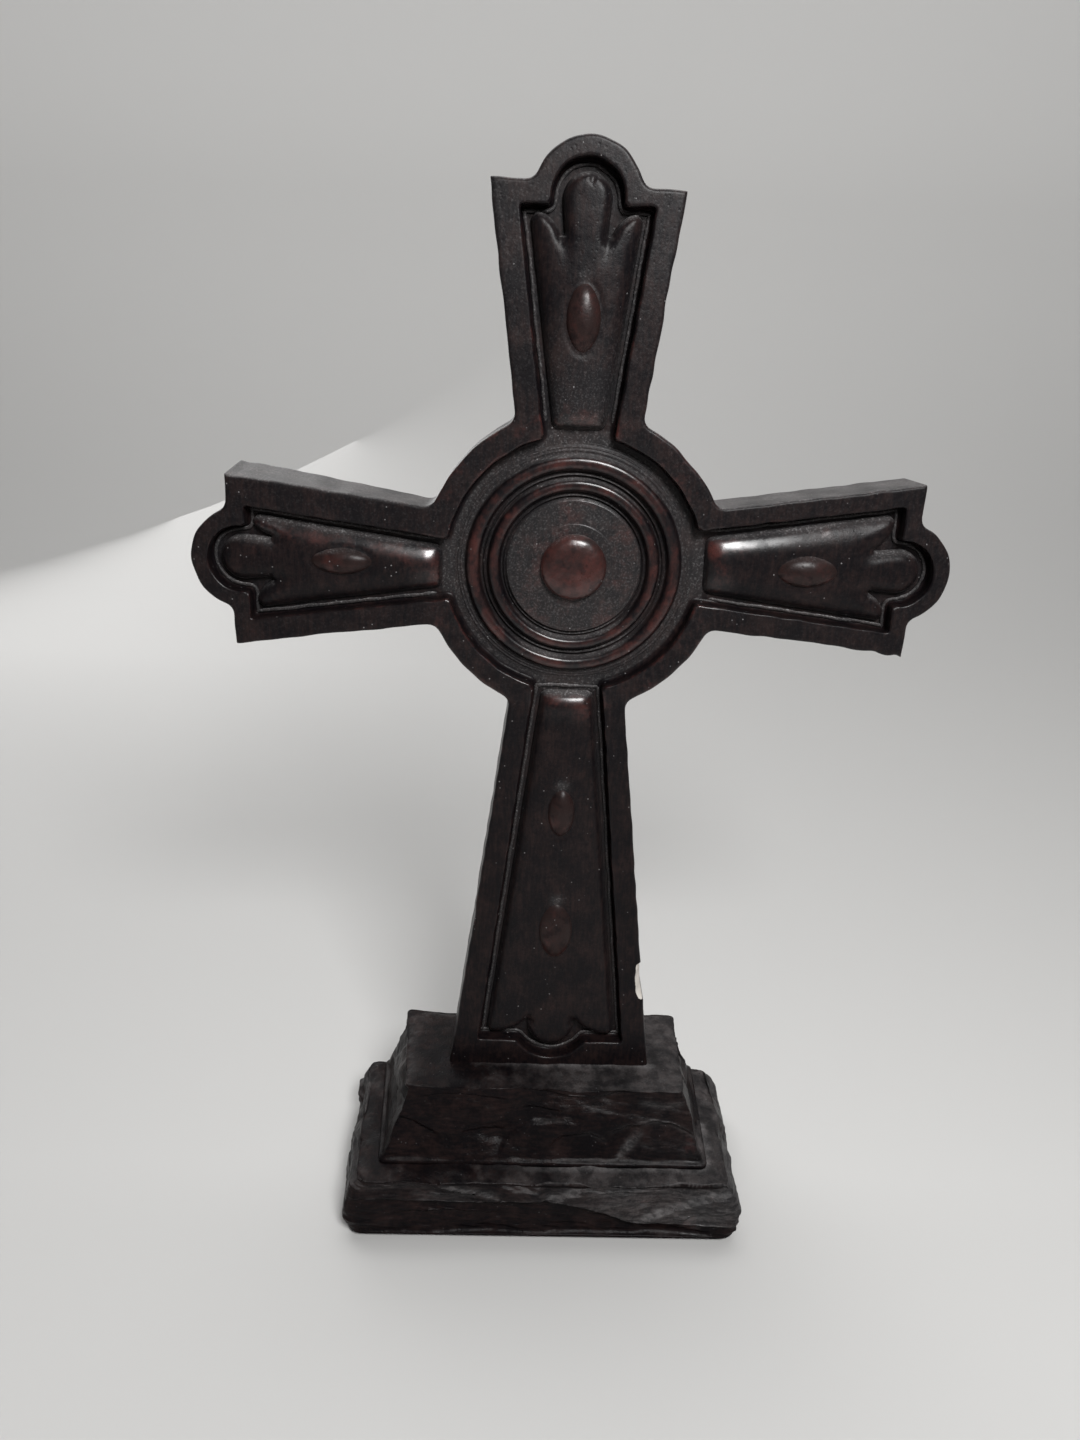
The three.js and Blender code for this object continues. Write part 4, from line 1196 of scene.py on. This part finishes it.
def studs_on(limb, context):
    """(name, place along the limb, length, width) of each stud on a limb."""
    slab, p, s = (read(context, name) for name in ("cross_slab", "cross_panels", "cross_studs"))
    start, _, tip = panel_sizes(limb, slab, p)
    if limb.name == "post":
        found = [
            ("stud_post_upper", s.upper_place, s.upper_length, s.upper_width),
            ("stud_post_lower", s.lower_place, s.lower_length, s.lower_width),
        ]
    else:
        place = s.right_place if limb.name == "right" else s.place
        width = s.left_width if limb.name == "left" else s.width
        found = [(f"stud_{limb.name}", place, s.length, width)]
    return [(name, blend(start, tip, place), long, wide) for name, place, long, wide in found]


def panel_heights(limb, slab, p, points, near):
    """A panel's relief above the window's floor, by place and by distance from its edge."""
    start, end, tip = panel_sizes(limb, slab, p)
    sideways = limb.name in ("left", "right")
    leaf_roll, crease = (1.4 * p.leaf_roll, 0.6 * p.crease) if sideways else (p.leaf_roll, p.crease)
    u, v = points.real, points.imag
    left, right = panel_half(limb, slab, p, 1, u), panel_half(limb, slab, p, -1, u)
    leaves = end - limb.notch
    radius = blend(limb.roll, leaf_roll, smooth_step(leaves - 3, leaves + 1, u))
    pillow = rounding(left - v, radius) * rounding(right + v, radius)
    pillow *= rounding(u - start, INNER_ROLL) * rounding(near, 1.0)
    roll = blend(pillow, rounding(near, radius), smooth_step(leaves - 8, leaves - 3, u))
    across = (v - (left - right) / 2) / ((left + right) / 2)
    middle = (u - blend(start, tip, 0.5)) / (tip - start) * 2
    crown = (1 - 0.3 * across**2) * (1 - (0.22 if sideways else 0.05) * middle**2)
    heights = PANEL_LIP + (p.rise - PANEL_LIP) * roll * crown
    for side in SIDES:
        foot = complex(leaves, side * (limb.tongue + p.notch_offset))
        run = complex(-5.5, -side * 0.2 * limb.tongue)
        t, off = beside(points, foot, run)
        heights -= crease * bell(off, 0.8) * (1 - t) ** 1.5 * smooth_step(0, 0.4, near)
    if limb.name == "top":
        heights -= 0.35 * bell(abs(points - (tip - 1.6 - 0.6j)), 0.45)
    return heights


def panel_looks(limb, slab, p, points, near):
    """A panel's wear and dust, and on the side panels a painted sheen, by place and by distance from its
    edge.
    """
    start, end, _ = panel_sizes(limb, slab, p)
    leaves = end - limb.notch
    u = points.real
    clear = smooth_step(0, 0.8, near)
    worn = 0.15 + 0.45 * bell(u - start - 1, 5) * clear - 0.2 * bell(near, 0.7)
    dusty = 0.02 + 0.1 * bell(near, 0.5)
    if limb.name in ("left", "right"):
        # Painted sheen: a red, glossy band along the upper flank of each side panel, where a highlight
        # falls. It runs the whole length of the left panel and fades outwards on the right.
        upper, fade = (1, 0.42) if limb.name == "right" else (-1, 0)
        sheen = 0.45 - fade * smooth_step(start + 1, leaves - 6, u)
        flank = panel_half(limb, slab, p, upper, u) - upper * points.imag
        worn += sheen * bell(flank - 2.3, 1.5) * clear
    if limb.name == "top":
        dusty += 0.12 * smooth_step(leaves - 8, start + 4, u)
    return worn, dusty


def panel_shell(limb, context):
    """A barrel-shaped panel that ends in three leaves, with a groove round each of its studs."""
    slab, p, s = (read(context, name) for name in ("cross_slab", "cross_panels", "cross_studs"))
    loop = softened(both_sides(panel_side, limb, slab, p), 0.4, 0.3)
    points, faces = tiled([loop], PANEL_ROWS, 0.55)
    near = distance(points, [loop])
    heights = panel_heights(limb, slab, p, points, near)
    worn, dusty = panel_looks(limb, slab, p, points, near)
    for _, place, long, wide in studs_on(limb, context):
        above = abs(points - place - 1j * (long / 2 + 0.5) / limb.turn)
        dusty += (0.4 if limb.name == "post" else 0.25) * bell(above, 1.1)
        reach = np.hypot((points.real - place) / (long / 2), points.imag / (wide / 2))
        heights -= s.groove * bell((reach - 1) * wide / 2, 0.25)
    floor = slab.thickness - slab.recess
    foot = floor - PANEL_SUNK
    shell = Shell()
    shell.add(points * limb.turn, floor + heights, faces, worn, dusty)
    shell.band([(loop * limb.turn, level, 0.0, 0.3) for level in (foot, floor + PANEL_LIP)])
    shell.close(loop * limb.turn, foot)
    return shell


class CROSS_OT_panels(bpy.types.Operator):
    """Raised panels with leaf ends, one in each window"""

    bl_idname = "cross.panels"
    bl_label = "Panels"

    def execute(self, context):
        slab = read(context, "cross_slab")
        finish = finish_of(context, "Cast body")
        for k, limb in enumerate(make_limbs(context)):
            made = panel_shell(limb, context).build(f"leaf_{limb.name}", slab)
            cast(made, finish, (0.1, 7), (0.03, 1.4), 3 + k)
            keep_piece(made, "cast_body", f"panel_{limb.name}")
        return {"FINISHED"}


def line_path(limb, slab, p, seed):
    """The run of a raised line beside its window's wall: all round on the post, open on an arm."""
    start = slab.ring - slab.ring_rim - 1
    loop = softened(both_sides(window_side, limb, slab, start), 0.35, 0.55)
    loop = loop - outward(loop) * p.line_gap
    if limb.lobe:
        loop = np.roll(loop, -np.argmin(abs(loop - start)))
        loop = loop[loop.real > start + 2]
    run = run_along(loop)
    sunk = 0.6 * bell(np.minimum(run, run[-1] - run), 1.8) if limb.lobe else 0 * run
    chance = np.random.default_rng(seed)
    stray = sum(np.sin(run / chance.uniform(0.5, 3) + chance.uniform(0, 6)) for _ in range(5))
    loop = (loop + 0.03 * stray * (1 - 1j)) * limb.turn
    level = slab.back - slab.thickness + slab.recess - 0.1
    return np.column_stack([loop.real, level + sunk, slab.ring_height + loop.imag])


class CROSS_OT_lines(bpy.types.Operator):
    """Fine raised lines round the panels"""

    bl_idname = "cross.lines"
    bl_label = "Raised lines"

    def execute(self, context):
        slab, p = read(context, "cross_slab"), read(context, "cross_panels")
        finish = finish_of(context, "Dusty line")
        for k, limb in enumerate(make_limbs(context)):
            path = line_path(limb, slab, p, 30 + k)
            made = edge_object(f"line_{limb.name}", path, closed=limb.lobe is None)
            grow(made, raised_line, radius=p.line * MM, seed=float(k), material=finish)
            mark(made, 0.1, 0.24)
            keep_piece(made, "cast_body")
        return {"FINISHED"}


class CROSS_OT_studs(bpy.types.Operator):
    """Oval studs on the panels"""

    bl_idname = "cross.studs"
    bl_label = "Studs"

    def execute(self, context):
        slab, p, s = (read(context, name) for name in ("cross_slab", "cross_panels", "cross_studs"))
        finish = finish_of(context, "Rubbed red")
        seat = slab.thickness - slab.recess + p.rise - STUD_SUNK
        for limb in make_limbs(context):
            for k, (name, place, long, wide) in enumerate(studs_on(limb, context)):
                made = edge_object(name.replace("stud", "oval"), np.zeros((2, 3)))
                sizes = dict(length=long * MM, width=wide * MM, height=(s.dome + STUD_SUNK) * MM)
                where = dict(place=stand(seat, slab, place * limb.turn), turn=facing_front(limb.turn))
                grow(made, oval_stud, **sizes, **where, point=s.point, material=finish)
                cast(made, finish, (0.1, 4), (0.03, 1.3), 11 + k)
                mark(made, 0.32 if limb.name == "right" else 0.28, 0.02)
                keep_piece(made, "rubbed_red", name)
        return {"FINISHED"}


def bead(radii, centre, width):
    """The section of a full, rounded ring, from 0 at its foot to 1 at its crest."""
    return np.clip(1 - abs(2 * (radii - centre) / width) ** 2.6, 0, 1) ** (1 / 2.2)


def ridges(radii, rings):
    """Fine ridges, each given as (radius, height, half width)."""
    return sum(height * bell(radii - radius, width) for radius, height, width in rings)


def medallion_section(m):
    """The medallion's section, in rows of radius, height above the well's floor, wear and dust."""
    radii = np.arange(0, m.radius, 0.14)
    dish = blend(m.dish_middle, m.dish_edge, np.clip(radii / m.dish, 0, 1) ** 2) + ridges(radii, DISH_RIDGES)
    inner, outer = bead(radii, m.inner_bead, m.inner_width), bead(radii, m.outer_bead, m.outer_width)
    rings = m.groove + (m.inner_rise - m.groove) * inner + (m.outer_rise - m.groove) * outer
    rings += ridges(radii, BEAD_RIDGES)
    apron = blend(0.4, 0.05, smooth_step(20.2, m.radius, radii)) + ridges(radii, APRON_RIDGES)
    beyond = radii > m.outer_bead + m.outer_width / 2
    worn = 0.1 + 0.6 * np.maximum(inner**3, outer**3)
    dusty = np.where(beyond, 0.22, 0.1 - 0.3 * np.maximum(inner, outer))
    in_dish = radii < m.dish
    heights = np.where(in_dish, dish, np.where(beyond, apron, rings))
    rows = [radii, heights, np.where(in_dish, 0.44, worn), np.where(in_dish, 0.2, dusty)]
    foot = [(m.radius, 0, 0, 0.6), (m.radius, -MEDALLION_SUNK, 0, 0), (0, -MEDALLION_SUNK, 0, 0)]
    return np.vstack([np.column_stack(rows), foot])


def boss_section(m):
    """The boss's section, in rows of radius, height above the dish, wear and dust."""
    share = np.sin(np.linspace(0, math.pi / 2, 60))
    heights = m.boss_rise * (0.16 * (1 - share**2) + 0.84 * (1 - share**5) ** (1 / 2.3))
    radii = np.append(m.boss * share, [m.boss, m.boss * 0.97, 0])
    heights = np.append(heights, [0, -BOSS_SUNK, -BOSS_SUNK])
    return np.column_stack([radii, heights, np.full(len(radii), 0.6), np.full(len(radii), 0.03)])


def turned_piece(name, section, **values):
    """A piece turned from its section, facing the front."""
    radii, heights, worn, dusty = section.T
    made = edge_object(name, np.column_stack([radii, -heights, 0 * radii]), worn=worn, dusty=dusty)
    grow(made, turned, turn=facing_front(1), **values)
    return made


class CROSS_OT_medallion(bpy.types.Operator):
    """Ringed medallion in the middle, and its boss"""

    bl_idname = "cross.medallion"
    bl_label = "Medallion"

    def execute(self, context):
        slab, m = read(context, "cross_slab"), read(context, "cross_medallion")
        floor = slab.thickness - slab.recess
        finish = finish_of(context, "Cast body")
        where = dict(sides=240, place=stand(floor, slab))
        made = turned_piece("ringed_medallion", medallion_section(m), **where, material=finish)
        cast(made, finish, (0.1, 6), (0.035, 1.3), 21)
        keep_piece(made, "cast_body", "medallion")
        finish = finish_of(context, "Rubbed red")
        where = dict(sides=160, place=stand(floor + m.dish_middle, slab))
        made = turned_piece("round_boss", boss_section(m), **where, material=finish)
        cast(made, finish, (0.12, 4), (0.04, 1.2), 27)
        keep_piece(made, "rubbed_red", "centre_boss")
        return {"FINISHED"}


def flake(path, depth, reach, below=True):
    """A split along a path of (along, up) on a tier's face, where rock is gone on one side."""
    return SimpleNamespace(path=[complex(*p) for p in path], depth=depth, reach=reach, below=below)


# The line above which the lower tier's front leans out: to its left it is high, to its right low
OVERHANG = (
    (-50, 9.9),
    (-32, 9.2),
    (-20, 9.0),
    (-11, 9.2),
    (-1.5, 9.9),
    (7, 8.3),
    (17, 5),
    (27, 4.4),
    (45, 3),
)
LOWER_SPLITS = (
    flake(OVERHANG, 1.5, 9),
    flake(((-2, 9.8), (3, 11.4), (9, 14)), 1.1, 4, False),
    flake(((16.5, 5.2), (22, 7.2), (27, 9), (33, 11), (42, 13)), 1.2, 5, False),
    flake(((-24, 13.4), (-17, 12), (-10, 10.4)), 0.8, 3, False),
    flake(((-41, 12.3), (-30, 12.9), (-21, 12.5)), 0.6, 2.5),
    flake(((7, 11.2), (16, 12.3), (28, 11.7)), 0.9, 3),
    flake(((9, 8.6), (15, 9.4), (22, 9.2)), 0.6, 2.2),
    flake(((28, 6.2), (34, 7.2), (41, 8.4)), 0.7, 2.4),
    flake(((-36, 5.5), (-22, 6.3), (-8, 5.2)), 0.5, 3),
    flake(((-30, 11.2), (-24, 10.6), (-14, 11.4)), 0.5, 2),
)
UPPER_SPLITS = (
    flake(((-36, 24.3), (-30, 22.4), (-24, 19)), 1.0, 5),
    flake(((-20, 20), (-15, 20.9), (-10, 20.3)), 0.8, 3),
    flake(((-12, 15), (-9.5, 19.5), (-4.5, 22.4), (2, 22.8)), 0.9, 4, False),
    flake(((-1, 17), (2, 19.6), (8, 20.4), (12, 18.4)), 0.7, 3),
    flake(((11, 20.2), (16, 21.6), (21.5, 22.9), (26, 22.2), (32, 19.4)), 1.3, 5),
    flake(((14, 15), (17, 18), (19.5, 21)), 0.8, 3, False),
    flake(((-4, 29.4), (3, 28.2), (9.5, 27.9), (15, 29.6)), 1.0, 3),
    flake(((-31, 27.5), (-20, 28.3), (-9, 27.3)), 0.6, 2.5),
    flake(((-7, 25.5), (0, 24.6), (6, 25.4)), 0.6, 2.5),
    flake(((18, 27), (24, 26.2), (29, 27.2)), 0.5, 2.5),
)
# Both tiers, seen from above. Half, front and back are at the foot, each with how far it draws in
# at the top. Levels are (share of the height, share of the drawing in).
TIERS = {
    "lower": SimpleNamespace(
        half=(43.3, 3.7),
        front=(20.7, 1.9),
        back=(20.7, 1.2),
        corner=3.8,
        lap=0,
        levels=(
            (0, 0.5),
            (0.08, 0.2),
            (0.25, 0.02),
            (0.4, 0),
            (0.58, 0.15),
            (0.76, 0.42),
            (0.92, 0.75),
            (1, 1),
        ),
        front_splits=LOWER_SPLITS,
        seed=40,
        break_share=1,
    ),
    "upper": SimpleNamespace(
        half=(35.3, 5.4),
        front=(13.4, 5),
        back=(19.2, 1.2),
        corner=1.6,
        lap=0.8,
        levels=((0, 0), (0.3, 0.32), (0.52, 0.5), (0.8, 0.82), (0.96, 0.95), (1, 1)),
        front_splits=UPPER_SPLITS,
        seed=50,
        break_share=0.5,
    ),
}


def tier_outline(inset, tier, plinth):
    """A tier's outline seen from above, as x + iy: wider at the back, with blunt corners."""
    half, front, back = (size - drawn_in * inset for size, drawn_in in (tier.half, tier.front, tier.back))
    corners = [
        complex(half, -front),
        complex(half + plinth.right_flare, back),
        complex(-half - plinth.left_flare, back),
        complex(-half, -front),
    ]
    points = []
    for k, corner in enumerate(corners):
        points += blunted(corners[k - 1], corner, corners[(k + 1) % 4], tier.corner)
    return spaced(points, count=COLUMNS)


def chance_splits(seed, half, low, high, count=9):
    """Splits at random places of a plain side."""
    chance = np.random.default_rng(seed)
    made = []
    for _ in range(count):
        along, up = chance.uniform(-half, half * 0.6), chance.uniform(low + 2, high - 1)
        run, lean = chance.uniform(8, 22), chance.uniform(-0.3, 0.3)
        steps = np.linspace(0, 1, 4)
        path = [(along + run * t, up + run * t * lean + chance.uniform(-0.7, 0.7)) for t in steps]
        depth, reach = chance.uniform(0.3, 0.9), chance.uniform(2, 5.5)
        made.append(flake(path, depth, reach, chance.random() < 0.6))
    return made


def split_depth(places, split):
    """How deep a split cuts at places (along + i up) on a face, and how near its edge they are."""
    nearest = np.full(len(places), np.inf)
    above = np.zeros(len(places))
    taper = np.zeros(len(places))
    count = len(split.path) - 1
    for k, (start, end) in enumerate(zip(split.path, split.path[1:])):
        run = end - start
        t, gap = beside(places, start, run)
        closer = gap < nearest
        nearest = np.where(closer, gap, nearest)
        above = np.where(closer, ((places - start) * run.conjugate()).imag / abs(run), above)
        taper = np.where(closer, (k + t) / count, taper)
    taper = np.minimum(1, 6 * taper * (1 - taper))
    gone = smooth_step(-0.35, 0.35, -above if split.below else above)
    return gone * split.depth * taper * bell(nearest, split.reach), taper * bell(nearest, 0.7)


def tier_breaks(tier, plan, heights, normals, foot, top):
    """How deep a tier's sides are cut, and how near a split's edge they are."""
    cut, edges = np.zeros(len(plan)), np.zeros(len(plan))
    for k, (side, facing) in enumerate(FACES_OF_TIER.items()):
        share = smooth_step(0.5, 0.85, (normals * facing.conjugate()).real)
        lengthwise = side in ("front", "back")
        along = plan.real if lengthwise else plan.imag
        cut += share * SWAY * (1 + np.sin(along / 4.7 + heights / 6) * np.cos(heights / 3.3 - along / 9))
        splits, strength = tier.front_splits, 1
        if side != "front":
            splits, strength = chance_splits(tier.seed + k, 34 if lengthwise else 17, foot, top), 1.5
        for split in splits:
            depth, edge = split_depth(along + 1j * heights, split)
            cut += share * depth * strength
            edges = np.maximum(edges, share * edge)
    return cut, edges


def worn_edge(places):
    """How far a tier's top edge has dropped, by place seen from above."""
    waves = 0
    for k, (size, turn) in enumerate(EDGE_WAVES):
        waves = waves + np.sin((places * cmath.exp(1j * turn)).real / size * np.pi + k) / (k + 1.5)
    return 0.4 + 0.3 * waves + 0.7 * bell(places.real - 7, 5.5) * (places.imag < 0)


def side_dust(name, plan, heights, edges):
    """Dust on a tier's sides along the splits and on what leans out, with painted light that pales the front
    towards the lit right and painted shade below the lower tier's overhang.
    """
    # Painted light: the front is paler towards the right, where the lamp stands.
    lit = smooth_step(-14, 24, plan.real) * (plan.imag < 0)
    if name == "upper":
        return -0.35 + (0.4 + 0.7 * edges) * lit
    over = smooth_step(-0.6, 0.6, heights - np.interp(plan.real, *np.array(OVERHANG).T))
    # Painted shade: below the overhang the dust is taken away, so that part stays dark.
    return over * (0.05 + 0.6 * lit + 0.5 * edges) - 0.6 * (1 - over)


def top_dust(name, points, plinth):
    """Dust on a tier's top, most in the front corner with what stands on it, with painted light that pales
    it towards the lit right and leaves it dark to the left.
    """
    if name == "lower":
        corner = distance(points, [tier_outline(0, TIERS["upper"], plinth) - plinth.shift])
    else:
        corner = np.where(abs(points.real) < 22, abs(points.imag + POST_FRONT), 99)
    # Painted light: paler towards the right, where the lamp stands.
    lit = smooth_step(-25, 12, points.real)
    return -0.65 + 0.64 * lit + bell(corner, 0.9) * 1.5 * lit * (points.imag < 0)


def tier_shell(name, foot, height, plinth):
    """One tier: rings of points from its foot to its top, broken by splits, and its top."""
    tier = TIERS[name]
    shares = np.linspace(0, 1, LEVELS)
    insets = np.interp(shares, *np.array(tier.levels).T)
    plan = np.concatenate([tier_outline(inset, tier, plinth) for inset in insets]) - plinth.shift
    normals = np.tile(outward(tier_outline(0, tier, plinth)), LEVELS)
    ups, heights = np.repeat(shares, COLUMNS), np.repeat(foot + shares * height, COLUMNS)
    cut, edges = tier_breaks(tier, plan, heights, normals, foot, foot + height)
    plan = plan - normals * cut * smooth_step(0, 0.05, ups) * smooth_step(1.02, 0.93, ups)
    drop = worn_edge(plan) * smooth_step(0.8, 1, ups)
    # Red wear along the splits' edges, which also serves as a painted highlight along them.
    worn = 0.1 + 0.25 * edges
    for spot in RED_SPOTS:
        worn += 0.6 * bell(abs(plan.real + 1j * heights - spot), 3) * (plan.imag < 0)
    dusty = side_dust(name, plan, heights, edges)
    shell = Shell()
    columns = (plan, heights - drop, worn, dusty)
    shell.band(list(zip(*(np.split(column, LEVELS) for column in columns))))

    top = plan[-COLUMNS:]
    points, faces = tiled([top], (0.3, 0.7, 1.2, 1.9), 1.1)
    level = foot + height - worn_edge(points) * bell(distance(points, [top]), 1.6)
    shell.add(points, level, faces, 0.1, top_dust(name, points, plinth))

    bottom = plan[:COLUMNS]
    if tier.lap:
        shell.band([(bottom, foot - tier.lap), (bottom, foot, worn[:COLUMNS], dusty[:COLUMNS])])
    shell.close(bottom, foot - tier.lap)
    return shell


class CROSS_OT_plinth(bpy.types.Operator):
    """Two tiers like split rock"""

    bl_idname = "cross.plinth"
    bl_label = "Plinth"

    def execute(self, context):
        plinth = read(context, "cross_plinth")
        finish = finish_of(context, "Rock")
        ledge = plinth.foot + plinth.lower_height
        tiers = (("lower", plinth.foot, plinth.lower_height), ("upper", ledge, plinth.upper_height))
        for k, (name, foot, height) in enumerate(tiers):
            made = tier_shell(name, foot, height, plinth).build(f"rock_{name}")
            depth = plinth.break_depth * TIERS[name].break_share * MM
            grow(made, split_rock, depth=depth, foot=foot * MM, seed=float(k), material=finish)
            keep_piece(made, "rock_plinth", f"plinth_{name}")
        return {"FINISHED"}


class CROSS_OT_hardware(bpy.types.Operator):
    """Finishes of the hidden bolt, washer, insert and pins, and of the felt"""

    bl_idname = "cross.hardware"
    bl_label = "Hardware finishes"

    def execute(self, context):
        finishes = {
            "tie_bolt": "Steel",
            "tie_washer": "Steel",
            "threaded_insert": "Brass",
            "tier_pin_left": "Steel",
            "tier_pin_right": "Steel",
            "felt_pad": "Felt",
        }
        for node, name in finishes.items():
            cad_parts[node].data.materials.clear()
            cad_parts[node].data.materials.append(finish_of(context, name))
        return {"FINISHED"}


# Stage, in metres


def lamp(name, power, size, place, target):
    data = bpy.data.lights.new(name, "AREA")
    data.energy = power
    data.shape = "RECTANGLE"
    data.size, data.size_y = size
    made = shown(name, data)
    made.location = place
    made.rotation_euler = (Vector(target) - Vector(place)).to_track_quat("-Z", "Y").to_euler()


def floor_and_backdrop(s):
    """A sheet that lies flat and bends up behind the cross."""
    bends = [(-1.2 + 0.1 * k, 0.0) for k in range(17)]
    bends += [(0.4 + 0.3 * math.sin(a), 0.3 - 0.3 * math.cos(a)) for a in np.linspace(0.1, math.pi / 2, 14)]
    bends += [(0.7, z) for z in (0.5, 0.9, 1.4)]
    verts = [(x, y, z) for y, z in bends for x in (-1.5, 1.5)]
    faces = [(2 * k, 2 * k + 1, 2 * k + 3, 2 * k + 2) for k in range(len(bends) - 1)]
    mesh = bpy.data.meshes.new("floor")
    mesh.from_pydata(verts, [], faces)
    mesh.polygons.foreach_set("use_smooth", [True] * len(faces))
    make = Finish("Floor")
    seen = make.add("ShaderNodeLightPath", output="Is Camera Ray")
    for ray in ("Is Glossy Ray", "Is Transmission Ray"):
        seen = seen.most(make.add("ShaderNodeLightPath", output=ray))
    height = make.parts(make.place)[2]
    glow = make.mix(height.ramp(0.0, 0.4) * seen, (0, 0, 0), s.floor)
    looks = dict(Base_Color=opaque(s.floor), Roughness=0.8, Emission_Color=glow, Emission_Strength=0.35)
    mesh.materials.append(make.done(**looks))
    floor = shown("floor", mesh)


class CROSS_OT_stage(bpy.types.Operator):
    """Floor, backdrop, lamps and camera"""

    bl_idname = "cross.stage"
    bl_label = "Stage"

    def execute(self, context):
        s = read(context, "cross_stage")
        scene = context.scene
        floor_and_backdrop(s)
        lamp("key", s.key, (0.11, 0.11), (0.08, -0.26, 0.34), (0, 0, 0.13))
        lamp("rear", s.rear, (0.4, 0.4), (-0.3, 0.5, 0.25), (0, 0, 0.1))
        lamp("fill", s.fill, (1.6, 0.6), (0, 0.42, 1.25), (0, 0.4, 0))
        world = bpy.data.worlds.new("Studio")
        world.use_nodes = True
        background = world.node_tree.nodes["Background"]
        background.inputs["Color"].default_value = (1, 1, 1, 1)
        background.inputs["Strength"].default_value = s.sky
        scene.world = world

        camera = shown("camera", bpy.data.cameras.new("camera"))
        camera.data.sensor_fit = "VERTICAL"
        camera.data.sensor_height = camera.data.sensor_width = 36
        camera.data.lens = CAMERA_LENS
        turn = Matrix(CAMERA_AXES).transposed()
        camera.matrix_world = Matrix.LocRotScale(CAMERA_PLACE * MM, turn, None)
        scene.camera = camera
        scene.view_settings.view_transform = "Standard"
        return {"FINISHED"}


OPERATORS = (
    CROSS_OT_slab,
    CROSS_OT_panels,
    CROSS_OT_lines,
    CROSS_OT_studs,
    CROSS_OT_medallion,
    CROSS_OT_plinth,
    CROSS_OT_hardware,
    CROSS_OT_stage,
)


class CROSS_PT_panel(bpy.types.Panel):
    """Sizes, colours and steps of the standing cross"""

    bl_idname = "CROSS_PT_panel"
    bl_label = "Standing Cross"
    bl_space_type = "VIEW_3D"
    bl_region_type = "UI"
    bl_category = "Cross"

    def draw(self, context):
        for operator in OPERATORS:
            self.layout.operator(operator.bl_idname)
        for name, kind in SETTINGS.items():
            box = self.layout.box()
            box.label(text=kind.__doc__)
            group = getattr(context.scene, name)
            for prop in group.bl_rna.properties:
                if prop.type == "FLOAT":
                    box.prop(group, prop.identifier)


CLASSES = (*SETTINGS.values(), *OPERATORS, CROSS_PT_panel)


def register():
    for kind in CLASSES:
        bpy.utils.register_class(kind)
    for name, kind in SETTINGS.items():
        setattr(bpy.types.Scene, name, bpy.props.PointerProperty(type=kind))


def unregister():
    for name in SETTINGS:
        delattr(bpy.types.Scene, name)
    for kind in reversed(CLASSES):
        bpy.utils.unregister_class(kind)


def main():
    register()
    for operator in OPERATORS:
        group, name = operator.bl_idname.split(".")
        getattr(getattr(bpy.ops, group), name)()


if __name__ == "__main__":
    main()
